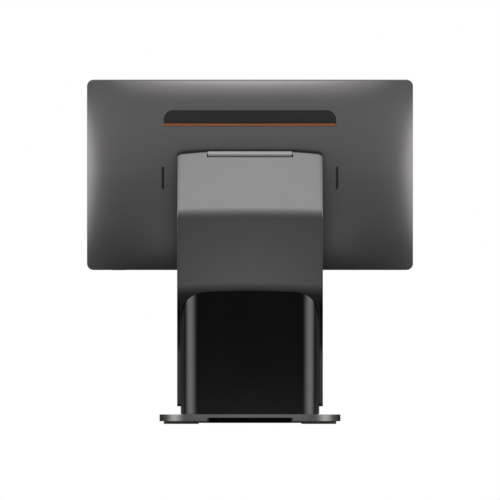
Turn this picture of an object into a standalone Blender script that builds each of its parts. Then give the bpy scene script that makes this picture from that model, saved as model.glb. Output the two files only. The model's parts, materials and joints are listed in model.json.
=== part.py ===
"""Counter all-in-one computer: a tilting touch display on a hollow neck, a cable cover and a weighted base.

Units are metres, +Z is up and the screen faces -Y. The origin is the middle of the footprint, on the table.
"""
import math

import bmesh
import bpy
from mathutils import Vector

# Clearances and the fineness of round forms
GAP = 0.0003
CLIP_PLAY = 0.0010
LEAST_RADIUS = 0.0001
ARC_STEP = math.radians(15)
ARC_SLACK = 0.01
ROUND_SIDES = 24
SHARP_ANGLE = math.radians(35)

# Display outline and its layers, front to back
PANEL_WIDTH = 0.3505
PANEL_HEIGHT = 0.2055
SIDE_RAIL = 0.01075
END_RAIL = 0.00775
DISPLAY_CORNER = 0.0075
DISPLAY_TILT = math.radians(12)
GLASS_DEPTH = 0.0018
GLASS_REVEAL = 0.0006
FRAME_DEPTH = 0.0036
CHASSIS_DEPTH = 0.0012
CHASSIS_MARGIN = 0.0028
CHASSIS_CORNER = 0.0050

# Domed rear cover of the display
COVER_RIM = 0.0020
COVER_RISE = 0.0140
COVER_WALL = 0.0022
DOME_POWER = 5.5
DOME_REACH = 0.064
DOME_RINGS = 8
DOME_CORNER_GROWTH = 0.5
SIDE_SLOT_X = 0.0993
SIDE_SLOT_WIDTH = 0.0029
SIDE_SLOT_HEIGHT = 0.0265

# Antenna window and its accent line, in a pocket across the rear cover
STRIP_WIDTH = 0.1974
STRIP_HEIGHT = 0.0147
STRIP_CORNER = 0.0125
STRIP_TOP = 0.0494
STRIP_SINK = 0.0006
STRIP_SEAT = 0.0080
ACCENT_HEIGHT = 0.0026
ACCENT_SINK = 0.0002

# Electronics in the display
BOARD_WIDTH = 0.140
BOARD_HEIGHT = 0.080
BOARD_DEPTH = 0.0016
BOARD_STANDOFF = 0.0022
BOARD_TOP = -0.038
BOARD_BOSS_INSET = 0.005
CHIP_SIZE = 0.022
CHIP_DEPTH = 0.0012
MODULE_DEPTH = 0.0040
SINK_WIDTH = 0.064
SINK_HEIGHT = 0.052
SINK_BASE = 0.0018
FIN_CLEARANCE = 0.0010
FIN_THICKNESS = 0.0014
FIN_COUNT = 9
SPEAKER_LENGTH = 0.070
SPEAKER_HEIGHT = 0.018
SPEAKER_DEPTH = 0.0052
SPEAKER_INSET = 0.071
SPEAKER_RISE = 0.017
VENT_COUNT = 6
VENT_PITCH = 0.0080
VENT_WIDTH = 0.0045
VENT_DEPTH = 0.0014
BUTTON_INSET = 0.036
BUTTON_WIDTH = 0.014
BUTTON_DEPTH = 0.0020
BUTTON_HEIGHT = 0.0050
BUTTON_PROUD = 0.0009
BUTTON_TRAVEL = 0.0008

# Tilt hinge
HINGE_Y = 0.040
HINGE_Z = 0.3082
HINGE_STANDOFF = 0.008
HINGE_ABOVE_CENTRE = 0.0297
EAR_RADIUS = 0.0048
BARREL_RADIUS = 0.0036
BARREL_LENGTH = 0.0958
PIN_RADIUS = 0.0015
PIN_GRIP = 0.0125
WASHER_RADIUS = 0.0034
WASHER_DEPTH = 0.0008
WEB_DEPTH = 0.0044
WEB_SETBACK = 0.0039
FLANGE_WIDTH = 0.116
FLANGE_HEIGHT = 0.034
FLANGE_DEPTH = 0.0025
FLANGE_CORNER = 0.004

# Screws and the bosses that take them
SCREW_SIDES = 10
SCREW_RADIUS = 0.0013
SCREW_HEAD_RADIUS = 0.0025
SCREW_HEAD_DEPTH = 0.0012
SCREW_BITE = 0.0030
BOSS_RADIUS = 0.0038
SCREW_EDGE = 0.006

# Neck and leg, as a side outline whose bends are measured down from the hinge
NECK_WIDTH = 0.1664
NECK_WALL = 0.0025
NECK_EDGE = 0.0020
UPPER_LEAN = math.radians(30)
LOWER_LEAN = math.radians(16)
UNDER_LEAN = math.radians(45)
KNEE_DROP = 0.0672
KNEE_RADIUS = 0.011
BROW_DROP = 0.1511
BROW_RADIUS = 0.026
THROAT_RADIUS = 0.086
LEG_BACK_Y = 0.0301
LEG_DEPTH = 0.024
LEG_CORNER = 0.003
CHIN_DROP = 0.1802
CHIN_RADIUS = 0.018
NAPE_DROP = 0.1432
NAPE_RADIUS = 0.018
CROWN_DROP = 0.0028
CROWN_FADE = 0.065
CROWN_STEPS = 6
BRIDGE_DEPTH = 0.0112
SEAM_DEPTH = 0.008
NOTCH_DEPTH = 0.0040

# Bent steel spine inside the neck
SPINE_WIDTH = 0.096
SPINE_DEPTH = 0.003
SPINE_BEND = 0.0015
SPINE_SCREW_INSET = 0.012

# Base, its ballast and its feet
BASE_WIDTH = 0.2065
BASE_LENGTH = 0.195
BASE_CORNER = 0.0364
BASE_HEIGHT = 0.0078
BASE_EDGE = 0.0008
BASE_RIM = 0.005
BASE_TOP_WALL = 0.0038
PEDESTAL_HEIGHT = 0.0086
PEDESTAL_WIDTH = 0.156
PEDESTAL_INSET = 0.002
PEDESTAL_WALL = 0.002
EXIT_WIDTH = 0.0981
EXIT_HEIGHT = 0.0042
EXIT_CORNER = 0.0025
WELL_WIDTH = 0.072
WELL_MARGIN = 0.004
CHANNEL_WIDTH = 0.094
CHANNEL_LEAD = 0.012
BALLAST_SCREW_X = 0.072
BALLAST_SCREW_Y = 0.020
FOOT_RADIUS = 0.020
FOOT_HEIGHT = 0.0028
FOOT_CHAMFER = 0.0006
FOOT_SIDE_MARGIN = 0.00475
FOOT_END_MARGIN = 0.010

# Cable cover behind the leg
CABLE_COVER_WIDTH = 0.1583
CABLE_COVER_BACK_Y = 0.0555
CABLE_COVER_CORNER = 0.0245
CABLE_COVER_WALL = 0.002
TAB_HEIGHT = 0.010
TAB_DEPTH = 0.0014
TAB_REACH = 0.006
TAB_RISE = 0.0211
TAB_DROP = 0.0113

# Connector board on the back of the leg, and the sockets that face down from it
IO_HEIGHT = 0.040
IO_DEPTH = 0.0016
IO_DROP = 0.0033
PORT_OVERHANG = 0.002
PORT_MARGIN = 0.00815
PORT_SPACING = 0.0026
USB_COUNT = 4
USB_SIZE = (0.0144, 0.0070, 0.0170)
USB_MOUTH = (0.0126, 0.0052, 0.0120)
LAN_SIZE = (0.0160, 0.0135, 0.0210)
LAN_MOUTH = (0.0118, 0.0080, 0.0140)
DRAWER_SIZE = (0.0135, 0.0130, 0.0180)
DRAWER_MOUTH = (0.0098, 0.0072, 0.0120)
JACK_SIZE = (0.0090, 0.0110, 0.0140)
JACK_MOUTH = (0.0064, 0.0064, 0.0110)

# Colour, roughness and metallic value of each finish
FINISHES = {
    "gunmetal": ((0.070, 0.068, 0.067), 0.42, 0.70),
    "gloss_black": ((0.006, 0.006, 0.006), 0.12, 0.0),
    "satin_black": ((0.015, 0.015, 0.016), 0.45, 0.0),
    "orange": ((0.55, 0.12, 0.02), 0.40, 0.0),
    "glass": ((0.004, 0.004, 0.005), 0.05, 0.0),
    "steel": ((0.35, 0.35, 0.36), 0.35, 1.0),
    "aluminium": ((0.60, 0.60, 0.61), 0.40, 1.0),
    "board_green": ((0.010, 0.060, 0.025), 0.50, 0.0),
    "rubber": ((0.010, 0.010, 0.010), 0.85, 0.0),
}

# Heights that follow from the base upwards
BASE_BOTTOM_Z = FOOT_HEIGHT + GAP
BASE_TOP_Z = BASE_BOTTOM_Z + BASE_HEIGHT
PAN_CEILING_Z = BASE_TOP_Z - BASE_TOP_WALL
LEG_BOTTOM_Z = BASE_TOP_Z + PEDESTAL_HEIGHT + 2 * GAP
LEG_FRONT_Y = LEG_BACK_Y - LEG_DEPTH
NECK_FRONT_Y = HINGE_Y - EAR_RADIUS
KNEE_Z = HINGE_Z - KNEE_DROP
BROW_Z = HINGE_Z - BROW_DROP
NAPE_Z = HINGE_Z - NAPE_DROP
CHIN_Z = HINGE_Z - CHIN_DROP
CAVITY_TOP_Z = HINGE_Z - BRIDGE_DEPTH
SEAM_TOP_Z = CAVITY_TOP_Z - CROWN_DROP - GAP
SCREW_HOLE = SCREW_RADIUS + GAP
SPINE_SCREW_X = SPINE_WIDTH / 2 - SPINE_SCREW_INSET

# Places in the display's own frame, whose origin is on the hinge axis
DISPLAY_WIDTH = PANEL_WIDTH + 2 * SIDE_RAIL
DISPLAY_HEIGHT = PANEL_HEIGHT + 2 * END_RAIL
SPEAKER_X = DISPLAY_WIDTH / 2 - SPEAKER_INSET
BUTTON_X = DISPLAY_WIDTH / 2 - BUTTON_INSET
CENTRE_Z = -HINGE_ABOVE_CENTRE
BOTTOM_Z = CENTRE_Z - DISPLAY_HEIGHT / 2
BACK_Y = -HINGE_STANDOFF
RIM_Y = BACK_Y - COVER_RISE
COVER_FRONT_Y = RIM_Y - COVER_RIM
FRAME_BACK_Y = COVER_FRONT_Y - GAP
FRAME_FRONT_Y = FRAME_BACK_Y - FRAME_DEPTH
GLASS_BACK_Y = FRAME_FRONT_Y - GAP
CHASSIS_BACK_Y = COVER_FRONT_Y + CHASSIS_DEPTH
BOARD_FRONT_Y = CHASSIS_BACK_Y + BOARD_STANDOFF
BOARD_BACK_Y = BOARD_FRONT_Y + BOARD_DEPTH
FLANGE_BACK_Y = BACK_Y - COVER_WALL - SCREW_HEAD_DEPTH - 3 * GAP
FLANGE_FRONT_Y = FLANGE_BACK_Y - FLANGE_DEPTH
NOTCH_HALF = BARREL_LENGTH / 2 + WASHER_DEPTH + 2 * GAP


def along_x(x, u, v):
    """Point of an outline drawn in Y and Z, at a station on X."""
    return (x, u, v)


def along_y(y, u, v):
    """Point of an outline drawn in X and Z, at a station on Y."""
    return (u, y, v)


def along_z(z, u, v):
    """Point of an outline drawn in X and Y, at a station on Z."""
    return (u, v, z)


def cross(a, b):
    """Signed area between two directions of an outline."""
    return a.x * b.y - a.y * b.x


def offset_corners(corners, distance):
    """Move every edge of a closed outline inwards by a distance, and its fillets with it."""
    points = [Vector(corner[:2]) for corner in corners]
    following = points[1:] + points[:1]
    inward = math.copysign(1, sum(cross(a, b) for a, b in zip(points, following)))
    moved = []
    for index, corner in enumerate(points):
        arrive = (corner - points[index - 1]).normalized()
        leave = (following[index] - corner).normalized()
        arrive_side = Vector((-arrive.y, arrive.x)) * inward
        leave_side = Vector((-leave.y, leave.x)) * inward
        place = corner + (arrive_side + leave_side) * distance / (1 + arrive_side.dot(leave_side))
        outer = math.copysign(1, cross(arrive, leave) * inward)
        radius = corners[index][2]
        if radius:
            radius = max(radius - outer * distance, LEAST_RADIUS)
        moved.append((place.x, place.y, radius))
    return moved


def rounded_path(corners):
    """Points of a closed outline through (u, v, radius) corners, with fillets that always fit their edges."""
    points = [Vector(corner[:2]) for corner in corners]
    following = points[1:] + points[:1]
    turns = []
    for index, corner in enumerate(points):
        turns.append((corner - points[index - 1]).angle(following[index] - corner))
    setbacks = [corner[2] * math.tan(turn / 2) for corner, turn in zip(corners, turns)]
    shares = []
    for index, corner in enumerate(points):
        room = (following[index] - corner).length
        need = setbacks[index] + setbacks[(index + 1) % len(points)]
        shares.append(min(1, room / need) if need else 1)
    path = []
    for index, corner in enumerate(points):
        radius = corners[index][2] * min(shares[index - 1], shares[index])
        if not radius:
            path.append((corner.x, corner.y))
            continue
        arrive = (corner - points[index - 1]).normalized()
        leave = (following[index] - corner).normalized()
        side = math.copysign(1, cross(arrive, leave))
        start = corner - arrive * radius * math.tan(turns[index] / 2)
        centre = start + Vector((-arrive.y, arrive.x)) * side * radius
        steps = math.ceil(turns[index] / ARC_STEP - ARC_SLACK)
        for step in range(steps + 1):
            angle = side * turns[index] * step / steps
            arm = start - centre
            path.append((centre.x + arm.x * math.cos(angle) - arm.y * math.sin(angle),
                         centre.y + arm.x * math.sin(angle) + arm.y * math.cos(angle)))
    return path


def rounded_rectangle(width, height, radius, u=0, v=0):
    """Outline of a rectangle with round corners about a centre."""
    corners = []
    for side_u, side_v in ((-1, -1), (1, -1), (1, 1), (-1, 1)):
        corners.append((u + side_u * width / 2, v + side_v * height / 2, radius))
    return rounded_path(corners)


def circle(radius, u=0, v=0, sides=ROUND_SIDES):
    """Outline of a circle about a centre."""
    turn = 2 * math.pi / sides
    return [(u + radius * math.cos(turn * i), v + radius * math.sin(turn * i)) for i in range(sides)]


def loft(rings, closed=False):
    """Skin a row of rings of equal count, with both ends capped or the row closed on itself."""
    shape = bmesh.new()
    rows = [[shape.verts.new(point) for point in ring] for ring in rings]
    pairs = list(zip(rows, rows[1:]))
    if closed:
        pairs.append((rows[-1], rows[0]))
    else:
        shape.faces.new(rows[0])
        shape.faces.new(rows[-1])
    for low, high in pairs:
        for index in range(len(low)):
            before = index - 1
            shape.faces.new((low[before], low[index], high[index], high[before]))
    bmesh.ops.recalc_face_normals(shape, faces=shape.faces)
    return shape


def prism(outline, low, high, place):
    """Extrude an outline between two stations."""
    return loft([[place(station, u, v) for u, v in outline] for station in (low, high)])


def ring_prism(outer, inner, low, high, place):
    """Extrude the ring between two outlines of equal count."""
    stations = ((outer, low), (outer, high), (inner, high), (inner, low))
    return loft([[place(station, u, v) for u, v in outline] for outline, station in stations], closed=True)


def block(low, high):
    """Box between two corners."""
    outline = [(low[0], low[1]), (high[0], low[1]), (high[0], high[1]), (low[0], high[1])]
    return prism(outline, low[2], high[2], along_z)


def turned(profile, place, u=0, v=0, sides=ROUND_SIDES):
    """Turn a row of (radius, station) steps about an axis."""
    return loft([[place(station, a, b) for a, b in circle(radius, u, v, sides)] for radius, station in profile])


def screw(seat, reach, place, u, v):
    """Pan-head screw whose head sits at a station and whose shank reaches another."""
    way = math.copysign(1, reach - seat)
    profile = ((SCREW_HEAD_RADIUS, seat - way * SCREW_HEAD_DEPTH), (SCREW_HEAD_RADIUS, seat),
               (SCREW_RADIUS, seat), (SCREW_RADIUS, reach))
    return turned(profile, place, u, v, SCREW_SIDES)


def drill(low, high, place, u, v, radius=SCREW_HOLE):
    """Round cutter between two stations."""
    return turned(((radius, low), (radius, high)), place, u, v, SCREW_SIDES)


def add_screws(name, screws, parent=None):
    """Make each of a set of screws its own numbered piece."""
    for number, shape in enumerate(screws, 1):
        add_piece(name + "_" + str(number), shape, "steel", parent)


def group(shapes):
    """One mesh that holds several separate shapes."""
    whole = bmesh.new()
    for shape in shapes:
        mesh = bpy.data.meshes.new("shape")
        shape.to_mesh(mesh)
        shape.free()
        whole.from_mesh(mesh)
        bpy.data.meshes.remove(mesh)
    return whole


def finish(name, kind):
    """Principled material of one piece."""
    colour, roughness, metallic = FINISHES[kind]
    material = bpy.data.materials.new(name + "_finish")
    material.use_nodes = True
    shader = material.node_tree.nodes["Principled BSDF"]
    shader.inputs["Base Color"].default_value = (*colour, 1)
    shader.inputs["Roughness"].default_value = roughness
    shader.inputs["Metallic"].default_value = metallic
    material.diffuse_color = (*colour, 1)
    return material


def add_piece(name, shape, kind, parent=None):
    """Make a named, finished object of a shape."""
    mesh = bpy.data.meshes.new(name)
    shape.to_mesh(mesh)
    shape.free()
    mesh.shade_smooth()
    mesh.set_sharp_from_angle(angle=SHARP_ANGLE)
    mesh.materials.append(finish(name, kind))
    piece = bpy.data.objects.new(name, mesh)
    bpy.context.scene.collection.objects.link(piece)
    piece.parent = parent
    return piece


def add_helper(name, shape, parent=None):
    """Make a cutter or an added form that only serves other pieces."""
    mesh = bpy.data.meshes.new(name)
    shape.to_mesh(mesh)
    shape.free()
    helper = bpy.data.objects.new(name, mesh)
    bpy.context.scene.collection.objects.link(helper)
    helper.parent = parent
    helper.hide_render = True
    helper.display_type = "WIRE"
    return helper


def combine(piece, helper, operation="DIFFERENCE"):
    """Cut a piece by a helper, join them or keep what they share."""
    modifier = piece.modifiers.new(helper.name, "BOOLEAN")
    modifier.solver = "EXACT"
    modifier.operation = operation
    modifier.object = helper


def add_axis(name, location, tilt=0):
    """Empty on a joint's axis, which carries the pieces that move there."""
    axis = bpy.data.objects.new(name, None)
    axis.location = location
    axis.rotation_euler = (-tilt, 0, 0)
    bpy.context.scene.collection.objects.link(axis)
    return axis


def dome_depth(inset):
    """Rise of the rear cover above its rim, at a distance in from the edge."""
    return COVER_RISE * (1 - (1 - 2 * inset / DISPLAY_HEIGHT) ** DOME_POWER)


def dome_slope(inset):
    """Angle of the rear cover to the display's plane, at a distance in from the edge."""
    rate = 2 * COVER_RISE * DOME_POWER / DISPLAY_HEIGHT
    return math.atan(rate * (1 - 2 * inset / DISPLAY_HEIGHT) ** (DOME_POWER - 1))


def dome_insets():
    """Distances in from the edge at which the dome is drawn, closer together near the rim."""
    return [DOME_REACH * (step / DOME_RINGS) ** 2 for step in range(DOME_RINGS + 1)]


def display_ring(inset, y):
    """Round-cornered ring about the display's centre."""
    width = DISPLAY_WIDTH - 2 * inset
    height = DISPLAY_HEIGHT - 2 * inset
    radius = DISPLAY_CORNER + DOME_CORNER_GROWTH * inset
    return [along_y(y, u, v) for u, v in rounded_rectangle(width, height, radius, 0, CENTRE_Z)]


def dome_solid(sink):
    """Filled form of the display's back, lowered by a depth."""
    rings = [display_ring(0, COVER_FRONT_Y - sink)]
    rings += [display_ring(inset, RIM_Y + dome_depth(inset) - sink) for inset in dome_insets()]
    return loft(rings)


def dome_shell():
    """Rear cover as one wall: the dome outside, and its parallel inside."""
    outer = [display_ring(0, COVER_FRONT_Y)]
    inner = [display_ring(COVER_WALL, COVER_FRONT_Y)]
    for inset in dome_insets():
        y = RIM_Y + dome_depth(inset)
        slope = dome_slope(inset)
        inner_inset = inset + COVER_WALL * math.sin(slope)
        outer.append(display_ring(inset, y))
        if inner_inset > COVER_WALL:
            inner.append(display_ring(inner_inset, y - COVER_WALL * math.cos(slope)))
    return loft(inner[::-1] + outer)


def strip_outline(width, bottom, top, corner):
    """Outline of the window strip, with round upper corners."""
    return rounded_path([(-width / 2, bottom, 0), (width / 2, bottom, 0),
                         (width / 2, top, corner), (-width / 2, top, corner)])


def build_rear_cover(tilt_axis):
    """Domed rear cover, with the strip's pocket, two side slots and the opening for the hinge."""
    cover = add_piece("rear_cover", dome_shell(), "gunmetal", tilt_axis)
    accent_bottom = STRIP_TOP - STRIP_HEIGHT - GAP - ACCENT_HEIGHT
    seat_y = RIM_Y + STRIP_SEAT
    pad_width = STRIP_WIDTH + 2 * COVER_WALL
    pad_outline = strip_outline(pad_width, accent_bottom - COVER_WALL, STRIP_TOP + COVER_WALL, STRIP_CORNER)
    pad = add_helper("strip_pad", prism(pad_outline, seat_y - COVER_WALL, BACK_Y, along_y), tilt_axis)
    combine(pad, add_helper("strip_pad_limit", dome_solid(COVER_WALL / 2), tilt_axis), "INTERSECT")
    combine(cover, pad, "UNION")
    pocket = strip_outline(STRIP_WIDTH + 2 * GAP, accent_bottom - GAP, STRIP_TOP + GAP, STRIP_CORNER + GAP)
    combine(cover, add_helper("strip_pocket", prism(pocket, seat_y, 0, along_y), tilt_axis))
    slots = []
    for side in (-1, 1):
        slot = rounded_rectangle(SIDE_SLOT_WIDTH, SIDE_SLOT_HEIGHT, SIDE_SLOT_WIDTH / 2 - LEAST_RADIUS,
                                 side * SIDE_SLOT_X, CENTRE_Z)
        slots.append(prism(slot, RIM_Y, 0, along_y))
    combine(cover, add_helper("side_slots", group(slots), tilt_axis))
    opening = rounded_rectangle(BARREL_LENGTH + 2 * CLIP_PLAY, 2 * (BARREL_RADIUS + CLIP_PLAY), CLIP_PLAY)
    combine(cover, add_helper("hinge_opening", prism(opening, FLANGE_BACK_Y, 0, along_y), tilt_axis))


def build_strips(tilt_axis):
    """Black antenna window and the thin accent line under it."""
    seat_y = RIM_Y + STRIP_SEAT + GAP
    strip_bottom = STRIP_TOP - STRIP_HEIGHT
    accent_top = strip_bottom - GAP
    window = strip_outline(STRIP_WIDTH, strip_bottom, STRIP_TOP, STRIP_CORNER)
    strip = add_piece("rear_strip", prism(window, seat_y, 0, along_y), "satin_black", tilt_axis)
    combine(strip, add_helper("strip_limit", dome_solid(STRIP_SINK), tilt_axis), "INTERSECT")
    line = strip_outline(STRIP_WIDTH, accent_top - ACCENT_HEIGHT, accent_top, 0)
    accent = add_piece("accent_strip", prism(line, seat_y, 0, along_y), "orange", tilt_axis)
    combine(accent, add_helper("accent_limit", dome_solid(ACCENT_SINK), tilt_axis), "INTERSECT")


def build_front_layers(tilt_axis):
    """Cover glass, panel and the frame around them, with the button's slot and the speaker vents."""
    glass = rounded_rectangle(DISPLAY_WIDTH - 2 * GLASS_REVEAL, DISPLAY_HEIGHT - 2 * GLASS_REVEAL,
                              DISPLAY_CORNER - GLASS_REVEAL, 0, CENTRE_Z)
    glass_front = GLASS_BACK_Y - GLASS_DEPTH
    add_piece("cover_glass", prism(glass, glass_front, GLASS_BACK_Y, along_y), "glass", tilt_axis)
    panel = rounded_rectangle(PANEL_WIDTH, PANEL_HEIGHT, CLIP_PLAY, 0, CENTRE_Z)
    add_piece("lcd_panel", prism(panel, FRAME_FRONT_Y, FRAME_BACK_Y, along_y), "satin_black", tilt_axis)
    outer = rounded_rectangle(DISPLAY_WIDTH, DISPLAY_HEIGHT, DISPLAY_CORNER, 0, CENTRE_Z)
    inner = rounded_rectangle(PANEL_WIDTH + 2 * GAP, PANEL_HEIGHT + 2 * GAP, CLIP_PLAY + GAP, 0, CENTRE_Z)
    ring = ring_prism(outer, inner, FRAME_FRONT_Y, FRAME_BACK_Y, along_y)
    frame = add_piece("display_frame", ring, "satin_black", tilt_axis)
    button_top = BOTTOM_Z - BUTTON_PROUD + BUTTON_HEIGHT + BUTTON_TRAVEL + GAP
    middle_y = (FRAME_FRONT_Y + FRAME_BACK_Y) / 2
    slot = block((BUTTON_X - BUTTON_WIDTH / 2 - GAP, middle_y - BUTTON_DEPTH / 2 - GAP, BOTTOM_Z - CLIP_PLAY),
                 (BUTTON_X + BUTTON_WIDTH / 2 + GAP, middle_y + BUTTON_DEPTH / 2 + GAP, button_top))
    combine(frame, add_helper("button_slot", slot, tilt_axis))
    vents = []
    vent_top = BOTTOM_Z + COVER_WALL + CHASSIS_MARGIN
    for side in (-1, 1):
        for index in range(VENT_COUNT):
            x = side * (SPEAKER_X - SPEAKER_LENGTH / 4) + (index - (VENT_COUNT - 1) / 2) * VENT_PITCH
            vents.append(block((x - VENT_WIDTH / 2, FRAME_BACK_Y - VENT_DEPTH, BOTTOM_Z - CLIP_PLAY),
                               (x + VENT_WIDTH / 2, FRAME_BACK_Y + CLIP_PLAY, vent_top)))
    combine(frame, add_helper("speaker_vents", group(vents), tilt_axis))


def build_power_button(tilt_axis):
    """Power button in the bottom edge of the frame, pressed upwards."""
    half = (BUTTON_WIDTH / 2, BUTTON_DEPTH / 2, BUTTON_HEIGHT / 2)
    shape = block([-size for size in half], half)
    button = add_piece("power_button", shape, "satin_black", tilt_axis)
    middle_y = (FRAME_FRONT_Y + FRAME_BACK_Y) / 2
    button.location = (BUTTON_X, middle_y, BOTTOM_Z - BUTTON_PROUD + half[2])


def bracket_screw_places():
    """Corners of the hinge flange where it is screwed down."""
    reach_x = FLANGE_WIDTH / 2 - SCREW_EDGE
    reach_z = FLANGE_HEIGHT / 2 - SCREW_EDGE
    return [(x, z) for x in (-reach_x, reach_x) for z in (-reach_z, reach_z)]


def board_screw_places():
    """Corners of the mainboard where it is screwed down."""
    reach_x = BOARD_WIDTH / 2 - BOARD_BOSS_INSET
    heights = (BOARD_TOP - BOARD_HEIGHT + BOARD_BOSS_INSET, BOARD_TOP - BOARD_BOSS_INSET)
    return [(x, z) for x in (-reach_x, reach_x) for z in heights]


def build_chassis(tilt_axis):
    """Steel plate behind the panel, with bosses for the hinge bracket and the mainboard."""
    edge = 2 * (COVER_WALL + CHASSIS_MARGIN)
    outline = rounded_rectangle(DISPLAY_WIDTH - edge, DISPLAY_HEIGHT - edge, CHASSIS_CORNER, 0, CENTRE_Z)
    plate = prism(outline, COVER_FRONT_Y, CHASSIS_BACK_Y, along_y)
    chassis = add_piece("chassis_plate", plate, "steel", tilt_axis)
    root_y = (COVER_FRONT_Y + CHASSIS_BACK_Y) / 2
    bosses = []
    holes = []
    bracket_set = (bracket_screw_places(), FLANGE_FRONT_Y - GAP)
    board_set = (board_screw_places(), BOARD_FRONT_Y - GAP)
    for places, top_y in (bracket_set, board_set):
        for x, z in places:
            bosses.append(turned(((BOSS_RADIUS, root_y), (BOSS_RADIUS, top_y)), along_y, x, z, SCREW_SIDES))
            holes.append(drill(COVER_FRONT_Y - CLIP_PLAY, top_y + CLIP_PLAY, along_y, x, z))
    combine(chassis, add_helper("chassis_bosses", group(bosses), tilt_axis), "UNION")
    combine(chassis, add_helper("chassis_holes", group(holes), tilt_axis))


def build_mainboard(tilt_axis):
    """Mainboard with its processor, memory and connectors, and the finned heat sink on it."""
    middle_z = BOARD_TOP - BOARD_HEIGHT / 2
    half_width = BOARD_WIDTH / 2
    board = block((-half_width, BOARD_FRONT_Y, BOARD_TOP - BOARD_HEIGHT), (half_width, BOARD_BACK_Y, BOARD_TOP))
    board = add_piece("mainboard", board, "board_green", tilt_axis)
    root_y = (BOARD_FRONT_Y + BOARD_BACK_Y) / 2
    chip_back = BOARD_BACK_Y + CHIP_DEPTH
    module_back = BOARD_BACK_Y + MODULE_DEPTH
    half_chip = CHIP_SIZE / 2
    parts = [block((-half_chip, root_y, middle_z - half_chip), (half_chip, chip_back, middle_z + half_chip))]
    module_width = half_width - SINK_WIDTH / 2 - 2 * BOSS_RADIUS - 2 * BOARD_BOSS_INSET
    for side in (-1, 1):
        x = side * (SINK_WIDTH / 2 + BOSS_RADIUS + module_width / 2)
        for lift in (-1, 1):
            z = middle_z + lift * SINK_HEIGHT / 4
            parts.append(block((x - module_width / 2, root_y, z - CHIP_SIZE / 3),
                               (x + module_width / 2, module_back, z + CHIP_SIZE / 3)))
    combine(board, add_helper("board_parts", group(parts), tilt_axis), "UNION")
    holes = [drill(CHASSIS_BACK_Y, module_back, along_y, x, z) for x, z in board_screw_places()]
    combine(board, add_helper("board_holes", group(holes), tilt_axis))
    base_y = chip_back + GAP
    fin_y = base_y + SINK_BASE
    low_edge = middle_z - SINK_HEIGHT / 2 - BOTTOM_Z
    fin_back = RIM_Y + dome_depth(low_edge) - COVER_WALL - FIN_CLEARANCE
    corners = [(-SINK_WIDTH / 2, base_y), (SINK_WIDTH / 2, base_y)]
    pitch = (SINK_WIDTH - FIN_THICKNESS) / (FIN_COUNT - 1)
    for index in reversed(range(FIN_COUNT)):
        x = -SINK_WIDTH / 2 + index * pitch
        if index < FIN_COUNT - 1:
            corners.append((x + FIN_THICKNESS, fin_y))
        corners.append((x + FIN_THICKNESS, fin_back))
        corners.append((x, fin_back))
        if index:
            corners.append((x, fin_y))
    comb = prism(corners, middle_z - SINK_HEIGHT / 2, middle_z + SINK_HEIGHT / 2, along_z)
    add_piece("heat_sink", comb, "aluminium", tilt_axis)


def build_speakers(tilt_axis):
    """Two flat speaker boxes near the bottom edge."""
    for name, side in (("speaker_left", -1), ("speaker_right", 1)):
        z = BOTTOM_Z + SPEAKER_RISE + SPEAKER_HEIGHT / 2
        outline = rounded_rectangle(SPEAKER_LENGTH, SPEAKER_HEIGHT, SPEAKER_HEIGHT / 4, side * SPEAKER_X, z)
        front_y = CHASSIS_BACK_Y + GAP
        add_piece(name, prism(outline, front_y, front_y + SPEAKER_DEPTH, along_y), "satin_black", tilt_axis)


def build_hinge(tilt_axis):
    """Hinge bracket with its barrel on the display, and the screws that hold it and the mainboard."""
    flange = rounded_rectangle(FLANGE_WIDTH, FLANGE_HEIGHT, FLANGE_CORNER)
    plate = prism(flange, FLANGE_FRONT_Y, FLANGE_BACK_Y, along_y)
    bracket = add_piece("hinge_bracket", plate, "gunmetal", tilt_axis)
    bore = PIN_RADIUS + GAP
    web_end = -(bore + BARREL_RADIUS) / 2
    web_root = (FLANGE_FRONT_Y + FLANGE_BACK_Y) / 2
    web_reach = BARREL_LENGTH / 2 - WEB_SETBACK
    web = block((-web_reach, web_root, -WEB_DEPTH / 2), (web_reach, web_end, WEB_DEPTH / 2))
    combine(bracket, add_helper("hinge_web", web, tilt_axis), "UNION")
    reach = BARREL_LENGTH / 2
    barrel = ring_prism(circle(BARREL_RADIUS), circle(bore), -reach, reach, along_x)
    combine(bracket, add_helper("hinge_barrel", barrel, tilt_axis), "UNION")
    holes = [drill(FLANGE_FRONT_Y - CLIP_PLAY, FLANGE_BACK_Y + CLIP_PLAY, along_y, x, z)
             for x, z in bracket_screw_places()]
    combine(bracket, add_helper("flange_holes", group(holes), tilt_axis))
    bracket_set = ("bracket_screw", bracket_screw_places(), FLANGE_BACK_Y, FLANGE_FRONT_Y - SCREW_BITE)
    board_set = ("board_screw", board_screw_places(), BOARD_BACK_Y, CHASSIS_BACK_Y)
    for name, places, back_y, reach_y in (bracket_set, board_set):
        screws = [screw(back_y + GAP, reach_y, along_y, x, z) for x, z in places]
        add_screws(name, screws, tilt_axis)


def slope_y(z, inset=0):
    """Depth of the neck's upper slope at a height, set in from its surface."""
    return HINGE_Y + (EAR_RADIUS - inset - (z - HINGE_Z) * math.sin(UPPER_LEAN)) / math.cos(UPPER_LEAN)


def brow_y():
    """Depth of the brow, under which the neck turns back to the leg."""
    return slope_y(KNEE_Z) - (KNEE_Z - BROW_Z) * math.tan(LOWER_LEAN)


def throat_z():
    """Height at which the back of the leg meets the slope under the brow."""
    return BROW_Z - (brow_y() - LEG_BACK_Y) / math.tan(UNDER_LEAN)


def leg_straight_z():
    """Height at which the straight back of the leg ends and the throat's curve starts."""
    return throat_z() - THROAT_RADIUS * math.tan(UNDER_LEAN / 2)


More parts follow.
